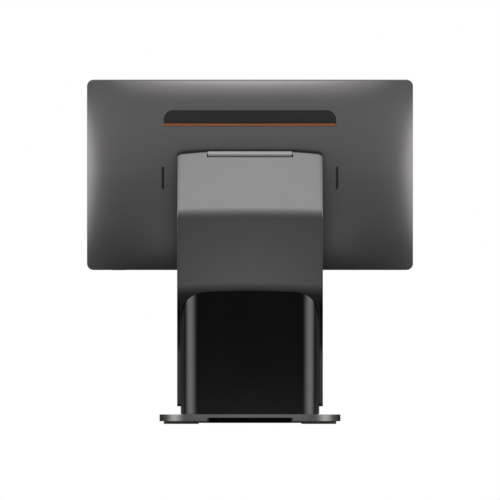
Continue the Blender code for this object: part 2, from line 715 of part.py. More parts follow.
def neck_corners():
    """Side outline of the neck and leg: leg, throat, brow, knee, hinge ears, nape and chin."""
    apex_z = HINGE_Z + EAR_RADIUS * (1 + math.cos(UPPER_LEAN)) / math.sin(UPPER_LEAN)
    return [(LEG_FRONT_Y, LEG_BOTTOM_Z, LEG_CORNER), (LEG_BACK_Y, LEG_BOTTOM_Z, LEG_CORNER),
            (LEG_BACK_Y, throat_z(), THROAT_RADIUS), (brow_y(), BROW_Z, BROW_RADIUS),
            (slope_y(KNEE_Z), KNEE_Z, KNEE_RADIUS), (NECK_FRONT_Y, apex_z, EAR_RADIUS),
            (NECK_FRONT_Y, NAPE_Z, NAPE_RADIUS), (LEG_FRONT_Y, CHIN_Z, CHIN_RADIUS)]


def crown_fall(x):
    """How far the upper neck drops at a distance from its middle."""
    return CROWN_DROP * (2 * x / NECK_WIDTH) ** 2


def crowned(x, y, z):
    """Point of the neck, dropped towards the sides above the leg, so that its lines arch."""
    share = min(max(1 + (z - BROW_Z) / CROWN_FADE, 0), 1)
    return (x, y, z - share * crown_fall(x))


def neck_body(corners, half_width, edge):
    """Sweep a side outline across the neck, with its side edges rounded."""
    quarter = math.pi / 2
    rounds = [(half_width - edge * (1 - math.cos(turn)), edge * (1 - math.sin(turn)))
              for turn in (0, quarter / 2)] if edge else []
    flat = half_width - edge
    middle = [(-flat + 2 * flat * step / CROWN_STEPS, 0) for step in range(CROWN_STEPS + 1)]
    stations = [(-x, inset) for x, inset in rounds] + middle + rounds[::-1]
    rings = []
    for x, inset in stations:
        rings.append([crowned(x, y, z) for y, z in rounded_path(offset_corners(corners, inset))])
    return loft(rings)


def neck_cavity():
    """Hollow of the neck and leg, closed at the top by the solid bridge under the hinge."""
    inner = offset_corners(neck_corners(), NECK_WALL)
    slope_top = (slope_y(CAVITY_TOP_Z, NECK_WALL), CAVITY_TOP_Z, CLIP_PLAY)
    front_top = (NECK_FRONT_Y + NECK_WALL, CAVITY_TOP_Z, CLIP_PLAY)
    return neck_body(inner[:5] + [slope_top, front_top] + inner[6:], NECK_WIDTH / 2 - NECK_WALL, 0)


def seam_prism(grow):
    """Region in front of the seam between the two halves of the neck."""
    inner = offset_corners(neck_corners(), SEAM_DEPTH)
    nape, chin = inner[6], inner[7]
    ahead_y = LEG_FRONT_Y - SEAM_DEPTH
    below_z = LEG_BOTTOM_Z - SEAM_DEPTH
    outline = [(ahead_y, below_z, 0), (LEG_FRONT_Y + SEAM_DEPTH, below_z, 0), chin, nape,
               (NECK_FRONT_Y + SEAM_DEPTH, SEAM_TOP_Z, 0), (ahead_y, SEAM_TOP_Z, 0)]
    return prism(rounded_path(offset_corners(outline, -grow)), -NECK_WIDTH, NECK_WIDTH, along_x)


def pedestal_opening():
    """Outline of the way through the pedestal and the foot of the leg."""
    inset = PEDESTAL_INSET + PEDESTAL_WALL
    return rounded_rectangle(PEDESTAL_WIDTH - 2 * PEDESTAL_WALL, LEG_DEPTH - 2 * inset, CLIP_PLAY,
                             0, LEG_BACK_Y - LEG_DEPTH / 2)


def tab_boxes(grow, root_y):
    """Tabs of the cable cover, or the slots that take them."""
    outer_x = CABLE_COVER_WIDTH / 2 - (CABLE_COVER_WALL - TAB_DEPTH) / 2
    boxes = []
    for side in (-1, 1):
        for level in (BASE_TOP_Z + TAB_RISE, leg_straight_z() - TAB_DROP):
            x = sorted((side * (outer_x + grow), side * (outer_x - TAB_DEPTH - grow)))
            boxes.append(block((x[0], LEG_BACK_Y - TAB_REACH, level - TAB_HEIGHT / 2 - grow),
                               (x[1], root_y, level + TAB_HEIGHT / 2 + grow)))
    return group(boxes)


def socket_row():
    """Sockets of the connector board in their order, each with its finish, size and mouth."""
    row = [("usb_port_" + str(index + 1), "steel", USB_SIZE, USB_MOUTH) for index in range(USB_COUNT)]
    row.append(("lan_port", "steel", LAN_SIZE, LAN_MOUTH))
    row.append(("drawer_port", "satin_black", DRAWER_SIZE, DRAWER_MOUTH))
    row.append(("power_jack", "satin_black", JACK_SIZE, JACK_MOUTH))
    return row


def io_width():
    """Width of the connector board, which follows from its row of sockets."""
    row = socket_row()
    return sum(size[0] for _, _, size, _ in row) + (len(row) - 1) * PORT_SPACING + 2 * PORT_MARGIN


def io_bottom_z():
    """Lower edge of the connector board, which hangs below the throat's curve."""
    return leg_straight_z() - IO_DROP - IO_HEIGHT


def io_screw_places():
    """Upper corners of the connector board, where it is screwed to the leg."""
    reach_x = io_width() / 2 - SCREW_EDGE
    return [(x, io_bottom_z() + IO_HEIGHT - SCREW_EDGE) for x in (-reach_x, reach_x)]


def spine_flange():
    """Height of the spine's top face under the bridge, and how far back it reaches."""
    top_z = CAVITY_TOP_Z - crown_fall(SPINE_WIDTH / 2) - GAP
    back_y = slope_y(top_z + crown_fall(SPINE_WIDTH / 2), NECK_WALL) - 2 * GAP
    return top_z, back_y


def neck_screw_y():
    """Depth at which the screws pass the spine's top flange."""
    return spine_flange()[1] - SCREW_HEAD_RADIUS - CLIP_PLAY


def build_neck():
    """Front and rear halves of the neck, and the hinge's notch and bores in the rear half."""
    outer = neck_corners()
    cavity = add_helper("neck_hollow", neck_cavity())
    opening = prism(pedestal_opening(), LEG_BOTTOM_Z - CLIP_PLAY, LEG_BOTTOM_Z + NECK_WALL + CLIP_PLAY, along_z)
    opening = add_helper("leg_opening", opening)
    front = add_piece("neck_front_cover", neck_body(outer, NECK_WIDTH / 2, NECK_EDGE), "gunmetal")
    rear = add_piece("neck_rear_cover", neck_body(outer, NECK_WIDTH / 2, NECK_EDGE), "gunmetal")
    for half in (front, rear):
        combine(half, cavity)
        combine(half, opening)
    combine(front, add_helper("front_region", seam_prism(0)), "INTERSECT")
    combine(rear, add_helper("front_cut", seam_prism(GAP)))
    ahead_y = NECK_FRONT_Y - CLIP_PLAY
    behind_y = slope_y(HINGE_Z - NOTCH_DEPTH) + CLIP_PLAY
    notch = block((-NOTCH_HALF, ahead_y, HINGE_Z - NOTCH_DEPTH), (NOTCH_HALF, behind_y, HINGE_Z + 2 * EAR_RADIUS))
    combine(rear, add_helper("hinge_notch", notch))
    bore = drill(-NOTCH_HALF - PIN_GRIP, NECK_WIDTH, along_x, HINGE_Y, HINGE_Z, PIN_RADIUS + GAP)
    combine(rear, add_helper("pin_bore", bore))
    combine(rear, add_helper("tab_slots", tab_boxes(GAP, LEG_BACK_Y + TAB_REACH)))
    holes = [drill(LEG_BACK_Y - NECK_WALL - CLIP_PLAY, LEG_BACK_Y + CLIP_PLAY, along_y, x, z)
             for x, z in io_screw_places()]
    flange_top = spine_flange()[0]
    for x in (-SPINE_SCREW_X, SPINE_SCREW_X):
        holes.append(drill(flange_top - GAP, flange_top + 2 * SCREW_BITE, along_z, x, neck_screw_y()))
    combine(rear, add_helper("neck_holes", group(holes)))


def build_hinge_pin():
    """Pin through the ears and the barrel, and the friction washers beside the barrel."""
    pin = turned(((PIN_RADIUS, GAP - NOTCH_HALF - PIN_GRIP), (PIN_RADIUS, NOTCH_HALF + PIN_GRIP)),
                 along_x, HINGE_Y, HINGE_Z, SCREW_SIDES)
    add_piece("hinge_pin", pin, "steel")
    rim = circle(WASHER_RADIUS, HINGE_Y, HINGE_Z)
    bore = circle(PIN_RADIUS + GAP, HINGE_Y, HINGE_Z)
    for name, side in (("washer_left", -1), ("washer_right", 1)):
        inner_x = side * (BARREL_LENGTH / 2 + GAP)
        washer = ring_prism(rim, bore, inner_x, inner_x + side * WASHER_DEPTH, along_x)
        add_piece("friction_" + name, washer, "steel")


def plate_outline(line, depth, bend):
    """Outline of a bent plate about its middle line."""
    points = [Vector(point) for point in line]
    sides = ([], [])
    for index, point in enumerate(points):
        arrive = (point - points[max(index - 1, 0)]).normalized()
        leave = (points[min(index + 1, len(points) - 1)] - point).normalized()
        arrive = arrive if index else leave
        leave = leave if index < len(points) - 1 else arrive
        normal = Vector((-arrive.y, arrive.x)) + Vector((-leave.y, leave.x))
        normal = normal / (1 + arrive.dot(leave))
        turn = cross(arrive, leave)
        inside = 0 if abs(turn) < LEAST_RADIUS else math.copysign(1, turn)
        for side, way in zip(sides, (1, -1)):
            place = point + normal * way * depth / 2
            radius = bend + (depth if way != inside else 0) if inside else 0
            side.append((place.x, place.y, radius))
    return rounded_path(sides[0] + sides[1][::-1])


def foot_screw_y():
    """Depth at which the screws pass the spine's foot."""
    return LEG_FRONT_Y + PEDESTAL_INSET + PEDESTAL_WALL + GAP + SCREW_HEAD_RADIUS


def build_spine():
    """Bent steel spine: foot on the base, up the leg, along the nape and under the hinge's bridge."""
    inset = NECK_WALL + GAP + SPINE_DEPTH / 2
    inner = offset_corners(neck_corners(), inset)
    fall = crown_fall(SPINE_WIDTH / 2)
    nape_y, nape_z = inner[6][:2]
    chin_y, chin_z = inner[7][:2]
    leg_y = LEG_BACK_Y - LEG_DEPTH / 2
    bend_z = chin_z + (leg_y - chin_y) * (nape_z - chin_z) / (nape_y - chin_y)
    foot_z = BASE_TOP_Z + GAP + SPINE_DEPTH / 2
    flange_top, flange_back = spine_flange()
    flange_z = flange_top - SPINE_DEPTH / 2
    foot_front = foot_screw_y() - SCREW_HEAD_RADIUS + GAP
    line = [(foot_front, foot_z), (leg_y, foot_z), (leg_y, bend_z - fall),
            (nape_y, nape_z - fall), (nape_y, flange_z), (flange_back, flange_z)]
    outline = plate_outline(line, SPINE_DEPTH, SPINE_BEND)
    spine = add_piece("stand_spine", prism(outline, -SPINE_WIDTH / 2, SPINE_WIDTH / 2, along_x), "steel")
    holes = []
    neck_screws = []
    foot_screws = []
    top_y = neck_screw_y()
    foot_y = foot_screw_y()
    flange_bottom = flange_top - SPINE_DEPTH
    foot_top = BASE_TOP_Z + GAP + SPINE_DEPTH
    for x in (-SPINE_SCREW_X, SPINE_SCREW_X):
        holes.append(drill(flange_bottom - CLIP_PLAY, flange_top + CLIP_PLAY, along_z, x, top_y))
        holes.append(drill(BASE_TOP_Z, foot_top + CLIP_PLAY, along_z, x, foot_y))
        neck_screws.append(screw(flange_bottom - GAP, flange_top + SCREW_BITE, along_z, x, top_y))
        foot_screws.append(screw(PAN_CEILING_Z - GAP, foot_top - GAP, along_z, x, foot_y))
    combine(spine, add_helper("spine_holes", group(holes)))
    add_screws("neck_screw", neck_screws)
    add_screws("foot_screw", foot_screws)


def build_pedestal():
    """Black collar that lifts the leg off the base and lets the spine and cables through."""
    outer = rounded_rectangle(PEDESTAL_WIDTH, LEG_DEPTH - 2 * PEDESTAL_INSET, PEDESTAL_WALL + CLIP_PLAY,
                              0, LEG_BACK_Y - LEG_DEPTH / 2)
    ring = ring_prism(outer, pedestal_opening(), BASE_TOP_Z + GAP, LEG_BOTTOM_Z - GAP, along_z)
    add_piece("leg_pedestal", ring, "satin_black")


def pan_outline(grow):
    """Outline of the hollow under the base plate, or of what fills it."""
    width = BASE_WIDTH - 2 * BASE_RIM + 2 * grow
    length = BASE_LENGTH - 2 * BASE_RIM + 2 * grow
    return rounded_rectangle(width, length, BASE_CORNER - BASE_RIM + grow)


def ballast_screw_places():
    """Points where the ballast is screwed to the base plate."""
    return [(x * BALLAST_SCREW_X, y * BALLAST_SCREW_Y) for x in (-1, 1) for y in (-1, 1)]


def build_base():
    """Base plate with its pan, cable well and rear cable exit."""
    rings = []
    for inset, z in ((BASE_EDGE, BASE_BOTTOM_Z), (0, BASE_BOTTOM_Z + BASE_EDGE),
                     (0, BASE_TOP_Z - BASE_EDGE), (BASE_EDGE, BASE_TOP_Z)):
        outline = rounded_rectangle(BASE_WIDTH - 2 * inset, BASE_LENGTH - 2 * inset, BASE_CORNER - inset)
        rings.append([along_z(z, u, v) for u, v in outline])
    base = add_piece("base_plate", loft(rings), "gunmetal")
    under_z = BASE_BOTTOM_Z - CLIP_PLAY
    combine(base, add_helper("base_pan", prism(pan_outline(0), under_z, PAN_CEILING_Z, along_z)))
    exit_outline = rounded_path([(-EXIT_WIDTH / 2, under_z, 0), (EXIT_WIDTH / 2, under_z, 0),
                                 (EXIT_WIDTH / 2, BASE_BOTTOM_Z + EXIT_HEIGHT, EXIT_CORNER),
                                 (-EXIT_WIDTH / 2, BASE_BOTTOM_Z + EXIT_HEIGHT, EXIT_CORNER)])
    exit_front = BASE_LENGTH / 2 - BASE_RIM - CLIP_PLAY
    combine(base, add_helper("cable_exit", prism(exit_outline, exit_front, BASE_LENGTH, along_y)))
    well_front = LEG_BACK_Y + WELL_MARGIN
    well_back = CABLE_COVER_BACK_Y - CABLE_COVER_WALL - WELL_MARGIN / 2
    well = rounded_rectangle(WELL_WIDTH, well_back - well_front, WELL_MARGIN / 2, 0, (well_front + well_back) / 2)
    well = prism(well, PAN_CEILING_Z - CLIP_PLAY, BASE_TOP_Z + CLIP_PLAY, along_z)
    combine(base, add_helper("cable_well", well))
    holes = []
    for x in (-SPINE_SCREW_X, SPINE_SCREW_X):
        holes.append(drill(PAN_CEILING_Z - CLIP_PLAY, BASE_TOP_Z + CLIP_PLAY, along_z, x, foot_screw_y()))
    for x, y in ballast_screw_places():
        holes.append(drill(PAN_CEILING_Z - CLIP_PLAY, BASE_TOP_Z - CLIP_PLAY, along_z, x, y))
    combine(base, add_helper("base_holes", group(holes)))


def build_ballast():
    """Steel ballast in the pan, cut away for the cables, with its countersunk screws."""
    top_z = PAN_CEILING_Z - GAP
    plate = prism(pan_outline(-GAP), BASE_BOTTOM_Z, top_z, along_z)
    ballast = add_piece("ballast_plate", plate, "steel")
    front_y = foot_screw_y() - SCREW_HEAD_RADIUS - CHANNEL_LEAD / 2
    channel = block((-CHANNEL_WIDTH / 2, front_y, 0), (CHANNEL_WIDTH / 2, BASE_LENGTH, BASE_TOP_Z))
    combine(ballast, add_helper("cable_channel", channel))
    seat_z = BASE_BOTTOM_Z + SCREW_HEAD_DEPTH + 2 * GAP
    recesses = []
    screws = []
    for x, y in ballast_screw_places():
        recess = ((SCREW_HEAD_RADIUS + GAP, 0), (SCREW_HEAD_RADIUS + GAP, seat_z),
                  (SCREW_HOLE, seat_z), (SCREW_HOLE, BASE_TOP_Z))
        recesses.append(turned(recess, along_z, x, y, SCREW_SIDES))
        screws.append(screw(seat_z - GAP, BASE_TOP_Z - CLIP_PLAY - GAP, along_z, x, y))
    combine(ballast, add_helper("screw_recesses", group(recesses)))
    add_screws("ballast_screw", screws)


def build_feet():
    """Four round rubber feet."""
    reach_x = BASE_WIDTH / 2 - FOOT_SIDE_MARGIN - FOOT_RADIUS
    reach_y = BASE_LENGTH / 2 - FOOT_END_MARGIN - FOOT_RADIUS
    for end, y in (("front", -reach_y), ("rear", reach_y)):
        for side, x in (("left", -reach_x), ("right", reach_x)):
            profile = ((FOOT_RADIUS - FOOT_CHAMFER, 0), (FOOT_RADIUS, FOOT_CHAMFER), (FOOT_RADIUS, FOOT_HEIGHT))
            add_piece("foot_" + end + "_" + side, turned(profile, along_z, x, y), "rubber")


def build_socket(name, kind, x, size, mouth):
    """Socket on the connector board, open downwards."""
    front_y = LEG_BACK_Y + IO_DEPTH + 2 * GAP
    bottom_z = io_bottom_z() - PORT_OVERHANG
    middle_y = front_y + size[1] / 2
    shell = block((x - size[0] / 2, front_y, bottom_z), (x + size[0] / 2, front_y + size[1], bottom_z + size[2]))
    socket = add_piece(name, shell, kind)
    hole = block((x - mouth[0] / 2, middle_y - mouth[1] / 2, bottom_z - CLIP_PLAY),
                 (x + mouth[0] / 2, middle_y + mouth[1] / 2, bottom_z + mouth[2]))
    combine(socket, add_helper(name + "_mouth", hole))


def build_connectors():
    """Connector board on the leg, its screws and its sockets."""
    front_y = LEG_BACK_Y + GAP
    half = io_width() / 2
    bottom_z = io_bottom_z()
    board = block((-half, front_y, bottom_z), (half, front_y + IO_DEPTH, bottom_z + IO_HEIGHT))
    board = add_piece("io_board", board, "board_green")
    holes = [drill(LEG_BACK_Y, front_y + IO_DEPTH + CLIP_PLAY, along_y, x, z) for x, z in io_screw_places()]
    combine(board, add_helper("io_board_holes", group(holes)))
    reach_y = LEG_BACK_Y - NECK_WALL
    screws = [screw(front_y + IO_DEPTH + GAP, reach_y, along_y, x, z) for x, z in io_screw_places()]
    add_screws("io_screw", screws)
    x = PORT_MARGIN - half
    for name, kind, size, mouth in socket_row():
        build_socket(name, kind, x + size[0] / 2, size, mouth)
        x += size[0] + PORT_SPACING


def build_cable_cover():
    """Round-cornered cover behind the leg, trimmed under the neck, with tabs that push into the leg."""
    half = CABLE_COVER_WIDTH / 2
    wall = CABLE_COVER_WALL
    front_y = LEG_BACK_Y + 2 * GAP
    back_y = CABLE_COVER_BACK_Y
    outline = rounded_path([(-half, front_y, 0), (-half, back_y, CABLE_COVER_CORNER),
                            (half, back_y, CABLE_COVER_CORNER), (half, front_y, 0),
                            (half - wall, front_y, 0), (half - wall, back_y - wall, CABLE_COVER_CORNER - wall),
                            (wall - half, back_y - wall, CABLE_COVER_CORNER - wall), (wall - half, front_y, 0)])
    slide = add_axis("cover_slide", (0, back_y, (BASE_TOP_Z + BROW_Z) / 2))
    shell = prism(outline, BASE_TOP_Z + GAP, BROW_Z - NECK_EDGE, along_z)
    cover = add_piece("cable_cover", shell, "gloss_black", slide)
    cover.location = -slide.location
    trim = neck_body(offset_corners(neck_corners(), -GAP), NECK_WIDTH / 2 + GAP, NECK_EDGE)
    combine(cover, add_helper("neck_trim", trim))
    tabs = add_helper("cover_tabs", tab_boxes(0, front_y + CABLE_COVER_WALL))
    combine(cover, tabs, "UNION")


def build():
    """Model the whole object, from an empty scene."""
    for old in list(bpy.data.objects):
        bpy.data.objects.remove(old)
    tilt_axis = add_axis("tilt_axis", (0, HINGE_Y, HINGE_Z), DISPLAY_TILT)
    build_front_layers(tilt_axis)
    build_power_button(tilt_axis)
    build_chassis(tilt_axis)
    build_mainboard(tilt_axis)
    build_speakers(tilt_axis)
    build_rear_cover(tilt_axis)
    build_strips(tilt_axis)
    build_hinge(tilt_axis)
    build_neck()
    build_hinge_pin()
    build_spine()
    build_pedestal()
    build_base()
    build_ballast()
    build_feet()
    build_connectors()
    build_cable_cover()


build()
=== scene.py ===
"""Looks of the counter all-in-one computer: shells, small parts, finishes and studio, around its solids.

Units are metres, +Z is up and the screen faces -Y. The picture is taken from behind, along -Y.
"""
import json
import math

import bpy
from mathutils import Matrix, Vector


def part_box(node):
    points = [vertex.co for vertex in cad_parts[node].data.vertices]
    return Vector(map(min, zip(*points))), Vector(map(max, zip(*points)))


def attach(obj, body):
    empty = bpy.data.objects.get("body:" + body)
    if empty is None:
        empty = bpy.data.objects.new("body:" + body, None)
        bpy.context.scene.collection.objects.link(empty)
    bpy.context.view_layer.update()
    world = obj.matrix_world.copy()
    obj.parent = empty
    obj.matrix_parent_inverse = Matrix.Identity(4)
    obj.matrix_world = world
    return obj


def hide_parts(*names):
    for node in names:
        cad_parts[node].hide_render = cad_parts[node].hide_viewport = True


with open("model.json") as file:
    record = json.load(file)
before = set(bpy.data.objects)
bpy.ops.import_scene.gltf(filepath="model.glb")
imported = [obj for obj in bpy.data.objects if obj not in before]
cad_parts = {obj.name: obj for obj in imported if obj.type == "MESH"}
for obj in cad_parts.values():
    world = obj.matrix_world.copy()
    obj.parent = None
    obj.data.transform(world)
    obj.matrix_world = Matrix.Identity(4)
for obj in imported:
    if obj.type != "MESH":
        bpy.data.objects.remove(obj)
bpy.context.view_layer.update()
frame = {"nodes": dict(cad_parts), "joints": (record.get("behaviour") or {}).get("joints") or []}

bl_info = {
    "name": "Counter computer looks",
    "version": (1, 0, 0),
    "blender": (4, 5, 0),
    "location": "View3D > Sidebar > Counter",
    "description": "Models the shells and small parts of a counter computer and gives them their finishes",
    "category": "Object",
}

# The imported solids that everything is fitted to
TILT_JOINT = next(joint for joint in frame["joints"] if joint["name"] == "display_tilt")
HINGE = Vector(TILT_JOINT["pos_m"])
TILT = math.radians(-TILT_JOINT["range_deg"][0])

# Clearances, tests of place and the fineness of round forms
CLEARANCE = 0.0003
SEAM_GAP = 0.00006
OVERCUT = 0.0010
NEAR = 0.00002
NEARLY_PARALLEL = 0.999
LEAST_RADIUS = 0.0001
ARC_STEP = math.radians(4)
CORNER_SEGMENTS = 12
BROAD_SEGMENTS = 28
RIM_SEGMENTS = 3
ROUND_SIDES = 48
DOME_COLUMNS = 76
DOME_ROWS = 52
DOME_CROWDING = 1.7
CROWN_STATIONS = 20
SMOOTH_ANGLE = math.radians(32)
SHARP_ANGLE = math.radians(50)

# How suddenly the falls of the dome at its sides and ends flatten towards the corners
SIDE_FADE_POWER = 2
END_FADE_POWER = 1.6

# Axes, sides and feet
X, Y, Z = range(3)
ORIGIN = Vector((0, 0, 0))
SIDES = {"left": -1, "right": 1}
FEET = ("front_left", "front_right", "rear_left", "rear_right")

# Bodies whose pieces are modelled upright and then tilted
TILTED_BODIES = ("display", "power_button")

# Screws: name, count, the axis that they lie along, whether their head is at its high end, and finish
SCREWS = (("ballast", 4, Z, False, "steel"), ("foot", 2, Z, False, "black_steel"),
          ("neck", 2, Z, False, "steel"), ("io", 2, Y, True, "steel"))

# Sockets: the width, depth and height of their mouths, and what is in them
USB_MOUTH = (0.0126, 0.0052, 0.0120)
POWER_MOUTH = (0.0064, 0.0064, 0.0110)
JACKS = (("lan_port", "lan_socket", "steel", (0.0118, 0.0080, 0.0140), 8),
         ("drawer_port", "drawer_socket", "satin_black", (0.0098, 0.0072, 0.0120), 6))
LATCH_DEPTH = 0.0012
LATCH_STOP = 0.0020
TONGUE_MARGIN = 0.0006
TONGUE_SETBACK = 0.0001
TONGUE_DEPTH = 0.0018
TONGUE_RISE = 0.0008
STRIP_PLACES = (-0.0035, -0.0010, 0.0010, 0.0035)
STRIP_HALF_WIDTH = 0.0005
STRIP_DEPTH = 0.00015
STRIP_START = 0.0010
STRIP_STOP = 0.0020
WIRE_PITCH = 0.00102
WIRE_HALF_WIDTH = 0.00022
WIRE_DEPTH = 0.0007
WIRE_RISE = 0.0015
POWER_PIN_RADIUS = 0.0010
POWER_PIN_RISE = 0.0012

# The floor: its size, how much of it glows white in the picture, and the light painted on it for reflections
# only: its brightness by distance from the object, dim as painted shade close to it, and painted pools of
# light (middle, reach and brightness) on both sides alike
FLOOR_SIZE = 30
FLOOR_GLOW = 0.93
FLOOR_RAMP_SPAN = 4.5
FLOOR_REFLECTED_SHADE_RAMP = ((0.06, 0.12), (0.20, 0.23), (0.35, 0.33), (0.60, 0.48), (0.95, 0.85), (1.50, 1.24),
              (2.30, 1.20), (3.40, 0.90), (4.40, 0.05))
FLOOR_PAINTED_LIGHT_POOLS = (((0, 0.29, 0), (0.17, 0.24, 1), 1.65), ((0.95, 0.50, 0), (0.55, 0.45, 1), 2.8))

# Soft lamps: name, place, point faced, size, softened shares of width and height, and setting of the level
LAMPS = (("top_lamp", (0, 0.93, 1.55), (0, 0.05, 0.33), (1.6, 1.32), (0.35, 0.35), "top_level"),
         ("side_lamp", (-1.11, 0.47, 0.44), (0, 0.05, 0.44), (1.53, 0.88), (0.5, 0), "side_level"),
         ("side_lamp", (1.11, 0.47, 0.44), (0, 0.05, 0.44), (1.53, 0.88), (0.5, 0), "side_level"))

# The room in reflections: where it darkens towards the camera and clears above the horizon, and its sky
BACK_SPAN = (0.3, 0.95)
HORIZON_SPAN = (0.01, 0.09)
SKY_LOW = 0.6
SKY_RISE = 1.2

# Tint of the metallic paints at grazing angles
GRAZING_TINT = (0.3, 0.3, 0.3, 1)


def length(name, description, default):
    """Length that a user may change."""
    return bpy.props.FloatProperty(name=name, description=description, default=default, min=0, precision=4,
                                   unit="LENGTH")


def lean(name, description, degrees):
    """Angle that a user may change."""
    return bpy.props.FloatProperty(name=name, description=description, default=math.radians(degrees),
                                   subtype="ANGLE")


def share(name, description, default):
    """Plain number that a user may change."""
    return bpy.props.FloatProperty(name=name, description=description, default=default, min=0, soft_max=10,
                                   subtype="FACTOR")


def colour(name, description, default):
    """Colour that a user may change."""
    return bpy.props.FloatVectorProperty(name=name, description=description, default=default, min=0, max=1,
                                         size=3, subtype="COLOR")


class DisplaySizes(bpy.types.PropertyGroup):
    """Sizes of the display's shells and of the hinge bracket on it."""

    corner: length("Corner", "Radius of the display's corners", 0.0075)
    cover_rim: length("Cover rim", "Straight edge of the rear cover before its dome starts", 0.0020)
    cover_rise: length("Cover rise", "Height of the rear cover's dome above its rim", 0.0140)
    cover_wall: length("Cover wall", "Wall of the rear cover", 0.0011)
    crown_power: share("Crown power", "How suddenly the dome's broad crown falls away", 3.2)
    edge_power: share("Edge power", "How suddenly the dome's edge falls away", 12)
    side_edge: share("Side edge", "Share of the dome's rise in the fall of its edge, at the sides", 0.28)
    end_edge: share("End edge", "The same share at the top and bottom", 0.33)
    side_fade: share("Side fade", "How far the fall at the sides flattens towards the corners", 0.35)
    end_fade: share("End fade", "How far the fall at the top and bottom flattens there", 0.50)
    slot_place: length("Slot place", "Distance of the side slots from the middle", 0.0993)
    slot_width: length("Slot width", "Width of the side slots", 0.0029)
    slot_height: length("Slot height", "Height of the side slots", 0.0265)
    # Black liner behind the side slots: a dark sheet that keeps them dark as painted shade
    liner_depth: length("Liner depth", "Thickness of the mesh behind the side slots", 0.0004)
    window_drop: length("Window drop", "Distance of the window below its solid's place", 0.00132)
    window_inset: length("Window inset", "Distance of the window's ends inside its solid's", 0.0008)
    window_corner: length("Window corner", "Radius of the window strip's upper corners", 0.0102)
    window_sink: length("Window sink", "Depth of the window strip below the cover's surface", 0.0006)
    accent_sink: length("Accent sink", "Depth of the accent line below the cover's surface", 0.0002)
    seat_depth: length("Seat depth", "Height of the window's seat above the cover's rim", 0.0080)
    glass_edge: length("Glass edge", "Rounding of the cover glass's edge", 0.0004)
    small_edge: length("Small edge", "Rounding of small moulded edges", 0.00025)
    picture_width: length("Picture width", "Width of the picture area behind the glass", 0.3442)
    picture_height: length("Picture height", "Height of the picture area behind the glass", 0.1936)
    speaker_depth: length("Speaker depth", "Depth of the speaker modules", 0.0030)
    cone_radius: length("Cone radius", "Radius of a speaker's opening", 0.0068)
    cone_sink: length("Cone sink", "Depth of a speaker's cone below its rim", 0.0014)
    vent_count: bpy.props.IntProperty(name="Vent count", description="Vents under each speaker", default=6,
                                      min=1)
    vent_pitch: length("Vent pitch", "Distance between the speaker vents", 0.0080)
    vent_width: length("Vent width", "Width of a speaker vent", 0.0045)
    vent_height: length("Vent height", "Height of a speaker vent", 0.0050)
    vent_depth: length("Vent depth", "Depth of a speaker vent into the frame", 0.0014)
    flange_depth: length("Flange depth", "Thickness of the hinge bracket's flange", 0.0025)
    flange_corner: length("Flange corner", "Radius of the hinge flange's corners", 0.0040)
    web_depth: length("Web depth", "Thickness of the web that carries the barrel", 0.0044)
    web_setback: length("Web setback", "Distance of the web's ends from the barrel's ends", 0.0039)
    barrel_length: length("Barrel length", "Length of the hinge barrel", 0.0958)
    pin_radius: length("Pin radius", "Radius of the hinge pin", 0.0015)
    swell_radius: length("Swell radius", "Radius of the barrel's flattened rear side", 0.0077)
    swell_depth: length("Swell depth", "Distance of that side from the barrel's axis", 0.0022)
    swell_lean: lean("Swell lean", "Elevation of the way that it faces, at rest", 29)
    barrel_growth: length("Barrel growth", "Growth of the barrel's radius over that of its solid", 0.0003)
    barrel_sag: length("Barrel sag", "Drop of the barrel's middle below the pin, at rest", 0.0006)


